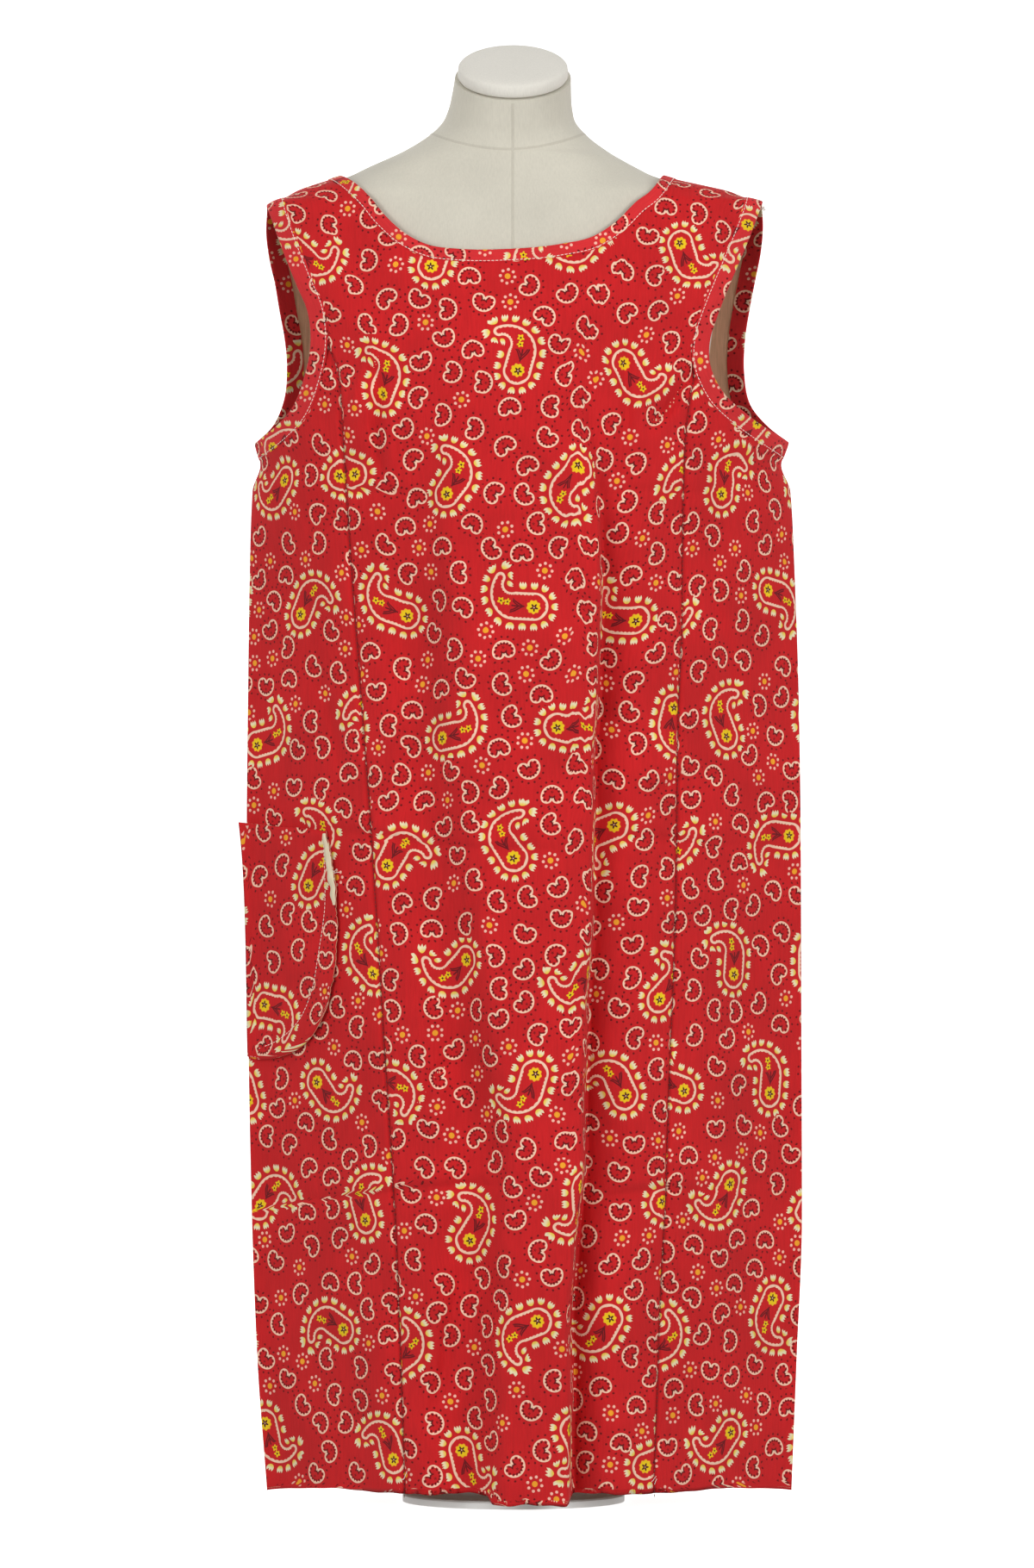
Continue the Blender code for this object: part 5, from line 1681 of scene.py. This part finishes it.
def ring(middle, half, tilt, steps, roundness=2.0):
    """A ring of points in a plane that leans forward about its middle. Tilt is in degrees."""
    turn = np.linspace(0, 2 * math.pi, steps, endpoint=False)
    c, s = np.cos(turn), np.sin(turn)
    x = np.where(c < 0, half[0], half[1]) * np.sign(c) * np.abs(c) ** (2 / roundness)
    y = np.where(s < 0, half[2], half[3]) * np.sign(s) * np.abs(s) ** (2 / roundness)
    lean = math.radians(tilt)
    places = [middle[0] + x, middle[1] + y * math.cos(lean), middle[2] + y * math.sin(lean)]
    return np.stack(places, axis=-1)


def lofted(name, rings, finish):
    """A closed piece through rings of points."""
    made = plain_piece(name, np.concatenate(rings), tube_faces(len(rings), len(rings[0])), finish)
    made.data.set_sharp_from_angle(angle=math.radians(50))
    return made


def place_in_mm(tree):
    """Where a point lies in the part's own frame, in mm."""
    place = add(tree, "NewGeometry").node.outputs["Position"]
    return add(tree, "VectorMath:SCALE", place, named={"Scale": 1000.0})


def cotton_jersey(name, hex_code, dark=0.93):
    """Knitted cotton pulled tight: wales 1.1 mm apart that soften the light, and faint soiling."""
    made, shader = blank_material(name)
    tree = made.node_tree
    put = partial(add, tree)
    place = place_in_mm(tree)
    wales = put(
        "TexNoise", put("VectorMath:MULTIPLY", place, (1.0, 1.0, 0.16)),
        named={"Scale": 1 / 1.1, "Detail": 2.0, "Roughness": 0.6},
    )
    fuzz = put("TexNoise", place, named={"Scale": 1 / 0.45, "Detail": 1.0})
    soil = put("TexNoise", place, named={"Scale": 1 / 60.0, "Detail": 3.0})
    shade = put("MapRange", wales, 0.3, 0.7, 0.955, 1.03)
    shade = put("Math:MULTIPLY", shade, put("MapRange", soil, 0.3, 0.7, dark, 1.02))
    paint = shaded(tree, hex_code, shade)
    relief = put("Math:MULTIPLY_ADD", fuzz, 0.4, wales)
    values = {"Roughness": 0.86, "Sheen Weight": 0.15, "Specular IOR Level": 0.3}
    set_surface(shader, paint, relief, 0.45, 0.0004, values)
    return made


form_jersey = cotton_jersey("offwhite_cotton_jersey", "#CDC8B9")
seam_jersey = cotton_jersey("jersey_seam_in_shade", "#C2BCAD")


def form_rings():
    """Rings from the hip to the neck's top, evenly spaced along the rows."""
    rows = [(z, 0.0, 0.0, left, right, front, back, 0.0, ROUNDNESS / 10)
            for z, left, right, front, back in FORM_SECTIONS]
    rows += [(z, x, y, wide, wide, deep, deep, tilt / 100, 0.205)
             for z, x, y, wide, deep, tilt in NECK_RINGS]
    table = along(rows, np.linspace(0, 1, FORM_RINGS))
    return [
        ring((x, y, z), (left, right, front, back), tilt * 100, FORM_STEPS, roundness * 10)
        for z, x, y, left, right, front, back, tilt, roundness in table
    ]


torso = lofted("form_torso_jersey", form_rings(), form_jersey)
print("form rings", FORM_RINGS)

# %% [markdown]
# The neck's top is closed by an oval lid, padded and covered in a paler, smoother cloth. It is a
# loft too, over a rounded profile, and it sits a hair above the neck so that the dark line under
# it shows.

# %% Neck cap
CAP_TILT = 23.0
CAP_CENTRE = (-0.0005, -0.0172, 1.0885)
CAP_HALF = (0.0425, 0.0505)
CAP_PROFILE = (
    # share of the half width, height over the lid's underside
    (0.905, 0.0000), (0.955, 0.0004), (0.985, 0.0016), (0.998, 0.0034), (1.0, 0.0050),
    (0.996, 0.0066), (0.978, 0.0084), (0.94, 0.0100), (0.86, 0.0112), (0.72, 0.0119),
    (0.50, 0.0124), (0.25, 0.0126), (0.03, 0.0126),
)


def cap_rings():
    lean = math.radians(CAP_TILT)
    up = np.array([0.0, -math.sin(lean), math.cos(lean)])
    rings = []
    for share, height in along(CAP_PROFILE, np.linspace(0, 1, 48)):
        half = (CAP_HALF[0] * share,) * 2 + (CAP_HALF[1] * share,) * 2
        rings.append(ring(np.array(CAP_CENTRE) + up * (height + 0.0003), half, CAP_TILT, 112))
    return rings


cap_cover = cotton_jersey("pale_cap_cotton", "#DFDBD1", 0.98)
cap = lofted("neck_cap_cover", cap_rings(), cap_cover)
print("cap top at", round(max(v.co.z for v in cap.data.vertices), 4))

# %% [markdown]
# The jersey is sewn from pieces. One seam runs down the middle of the front and of the back, and one
# goes round the base of the neck. Each is a low, narrow ridge laid on the form by casting rays at it.

# %% Seams of the form
SEAM_RIDGE = (
    # aside, height
    (-0.0011, 0.00002), (-0.0006, 0.00022), (0.0, 0.00012), (0.0006, 0.00022), (0.0011, 0.00002),
)
NECK_SEAM_HEIGHT = 1.0315
form_tree = BVHTree.FromPolygons(
    [v.co for v in torso.data.vertices], [tuple(p.vertices) for p in torso.data.polygons]
)


def on_form(start, way):
    spot, normal, _, _ = form_tree.ray_cast(Vector(start), Vector(way))
    return np.array(spot), np.array(normal)


def ridge_strip(name, rays, closed=False):
    hits = [on_form(start, way) for start, way in rays]
    spots = np.array([spot for spot, _ in hits])
    ahead = np.gradient(spots, axis=0)
    if closed:
        ahead = np.roll(spots, -1, axis=0) - np.roll(spots, 1, axis=0)
    rows = []
    for (spot, normal), way in zip(hits, ahead):
        aside = np.cross(way, normal)
        aside /= np.linalg.norm(aside)
        rows.append([spot + aside * offset + normal * height for offset, height in SEAM_RIDGE])
    return strip_piece(name, np.array(rows), seam_jersey, closed=closed)


front_rays = [((-0.0006, -0.4, z), (0, 1, 0)) for z in np.linspace(0.900, 1.066, 70)]
back_rays = [((-0.0006, 0.4, z), (0, -1, 0)) for z in np.linspace(0.900, 1.100, 80)]
neck_rays = []
for angle in np.linspace(0, 2 * math.pi, 160, endpoint=False):
    start = np.array([-0.004 + 0.3 * math.cos(angle), -0.006 + 0.3 * math.sin(angle), 0.0])
    start[2] = NECK_SEAM_HEIGHT + 0.0150 * math.cos(angle) ** 2 + 0.006 * max(math.sin(angle), 0)
    neck_rays.append((tuple(start), (-math.cos(angle), -math.sin(angle), 0)))
seams = [
    ridge_strip("form_seam_front", front_rays),
    ridge_strip("form_seam_back", back_rays),
    ridge_strip("form_seam_neck", neck_rays, closed=True),
]
print("form seams", len(seams))

# %% [markdown]
# ## The stand
# A short pole and a round plate carry the form, hidden by the skirt. They are sprayed steel, which
# looks pale, smooth and slightly pebbled. The CAD's own solids have the right shape, so they stay
# and only take the finish.

# %% Sprayed steel
def sprayed_steel(name, hex_code):
    """Satin paint over steel: fine pebbles, and wear that changes shade and gloss."""
    made, shader = blank_material(name)
    tree = made.node_tree
    put = partial(add, tree)
    place = place_in_mm(tree)
    pebbles = put("TexNoise", place, named={"Scale": 1 / 1.6, "Detail": 2.0})
    wear = put("TexNoise", place, named={"Scale": 1 / 25.0, "Detail": 4.0})
    shade = put("MapRange", wear, 0.3, 0.7, 0.95, 1.02)
    paint = shaded(tree, hex_code, shade)
    set_surface(shader, paint, pebbles, 0.15, 0.0003, {})
    tree.links.new(put("MapRange", wear, 0.3, 0.7, 0.38, 0.52), shader.inputs["Roughness"])
    return made


stand_paint = sprayed_steel("white_sprayed_steel", "#F1F0ED")
for node_name in ("form_pole", "form_base"):
    stand_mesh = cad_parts[node_name].data
    stand_mesh.materials.clear()
    stand_mesh.materials.append(stand_paint)
print("stand keeps its CAD solids")

# %% [markdown]
# ## Loose threads
# Seam ends leave short threads: a small tuft on the wearer's left shoulder and one at each long
# seam's foot. They are thin mesh tubes along short random curls with a fixed seed.

# %% Threads
THREAD_HALF = 0.00022
THREAD_POINTS = 14


def thread_tube(start, way, length, draw):
    """One curling thread from start, as points and faces."""
    curl = draw.normal(0, 0.5, 3)
    spots, here, step = [], np.array(start, float), length / THREAD_POINTS
    direction = np.array(way, float)
    for _ in range(THREAD_POINTS):
        spots.append(here.copy())
        direction = direction + curl * 0.35 + draw.normal(0, 0.16, 3)
        direction /= np.linalg.norm(direction)
        here = here + direction * step
    radii = ((0.0, THREAD_HALF / STITCH_HALF), (1.0, THREAD_HALF / STITCH_HALF))
    up = np.array([0.3, 0.2, 0.9])
    return joined([tube_between(a, b, radii, up) for a, b in zip(spots, spots[1:])])


def thread_ends():
    """All loose ends, in one piece."""
    draw = np.random.default_rng(21)
    roots = (
        # point in the front view, out from the face, way, length, how many
        ((0.1905, 0.9880), 0.0006, (0.5, -0.4, 0.5), 0.010, 5),
        ((-0.0836, 0.0235), 0.0004, (0.2, -0.5, -0.3), 0.009, 2),
        ((0.1078, 0.0235), 0.0004, (-0.1, -0.5, -0.4), 0.008, 2),
        ((-0.1350, 0.4820), 0.0030, (0.5, -0.4, 0.2), 0.006, 3),
    )
    threads = []
    for spot, out, way, length, number in roots:
        place = on_face(np.array([spot]), -1, out)[0]
        for _ in range(number):
            start = place + draw.normal(0, 0.0006, 3)
            threads.append(thread_tube(start, way, length * draw.uniform(0.6, 1.1), draw))
    return plain_piece("thread_ends", *joined(threads), white_thread)


loose_threads = thread_ends()
print("thread faces", len(loose_threads.data.polygons))

# %% [markdown]
# ## Tie the pieces to the frame
# Each piece takes the place of its CAD solid, which is hidden, and hangs with the others from one
# root.

# %% Pieces and nodes
STANDS_FOR = (
    # piece, node, slot
    (centre_cloth, "front_centre", "printed_cloth"),
    (left_cloth, "front_side_left", "printed_cloth"),
    (right_cloth, "front_side_right", "printed_cloth"),
    (back_cloth, "back", "printed_cloth"),
    (neck_strip, "neck_band", "printed_cloth"),
    (left_binding, "armhole_band_left", "printed_cloth"),
    (right_binding, "armhole_band_right", "printed_cloth"),
    (pocket_cloth, "pocket", "printed_cloth"),
    (torso, "form_torso", "form_cover"),
    (cap, "neck_cap", "form_cover"),
)
ALONGSIDE = (
    # piece, slot
    (band_stitches, "printed_cloth"),
    (pocket_stitches, "printed_cloth"),
    (seam_shadow_threads[0], "printed_cloth"),
    (seam_shadow_threads[1], "printed_cloth"),
    (pocket_strip, "printed_cloth"),
    (loose_threads, "printed_cloth"),
    (seams[0], "form_cover"),
    (seams[1], "form_cover"),
    (seams[2], "form_cover"),
)
for piece, node_name, slot in STANDS_FOR:
    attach(piece, "root")
    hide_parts(node_name)
for piece, slot in ALONGSIDE:
    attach(piece, "root")
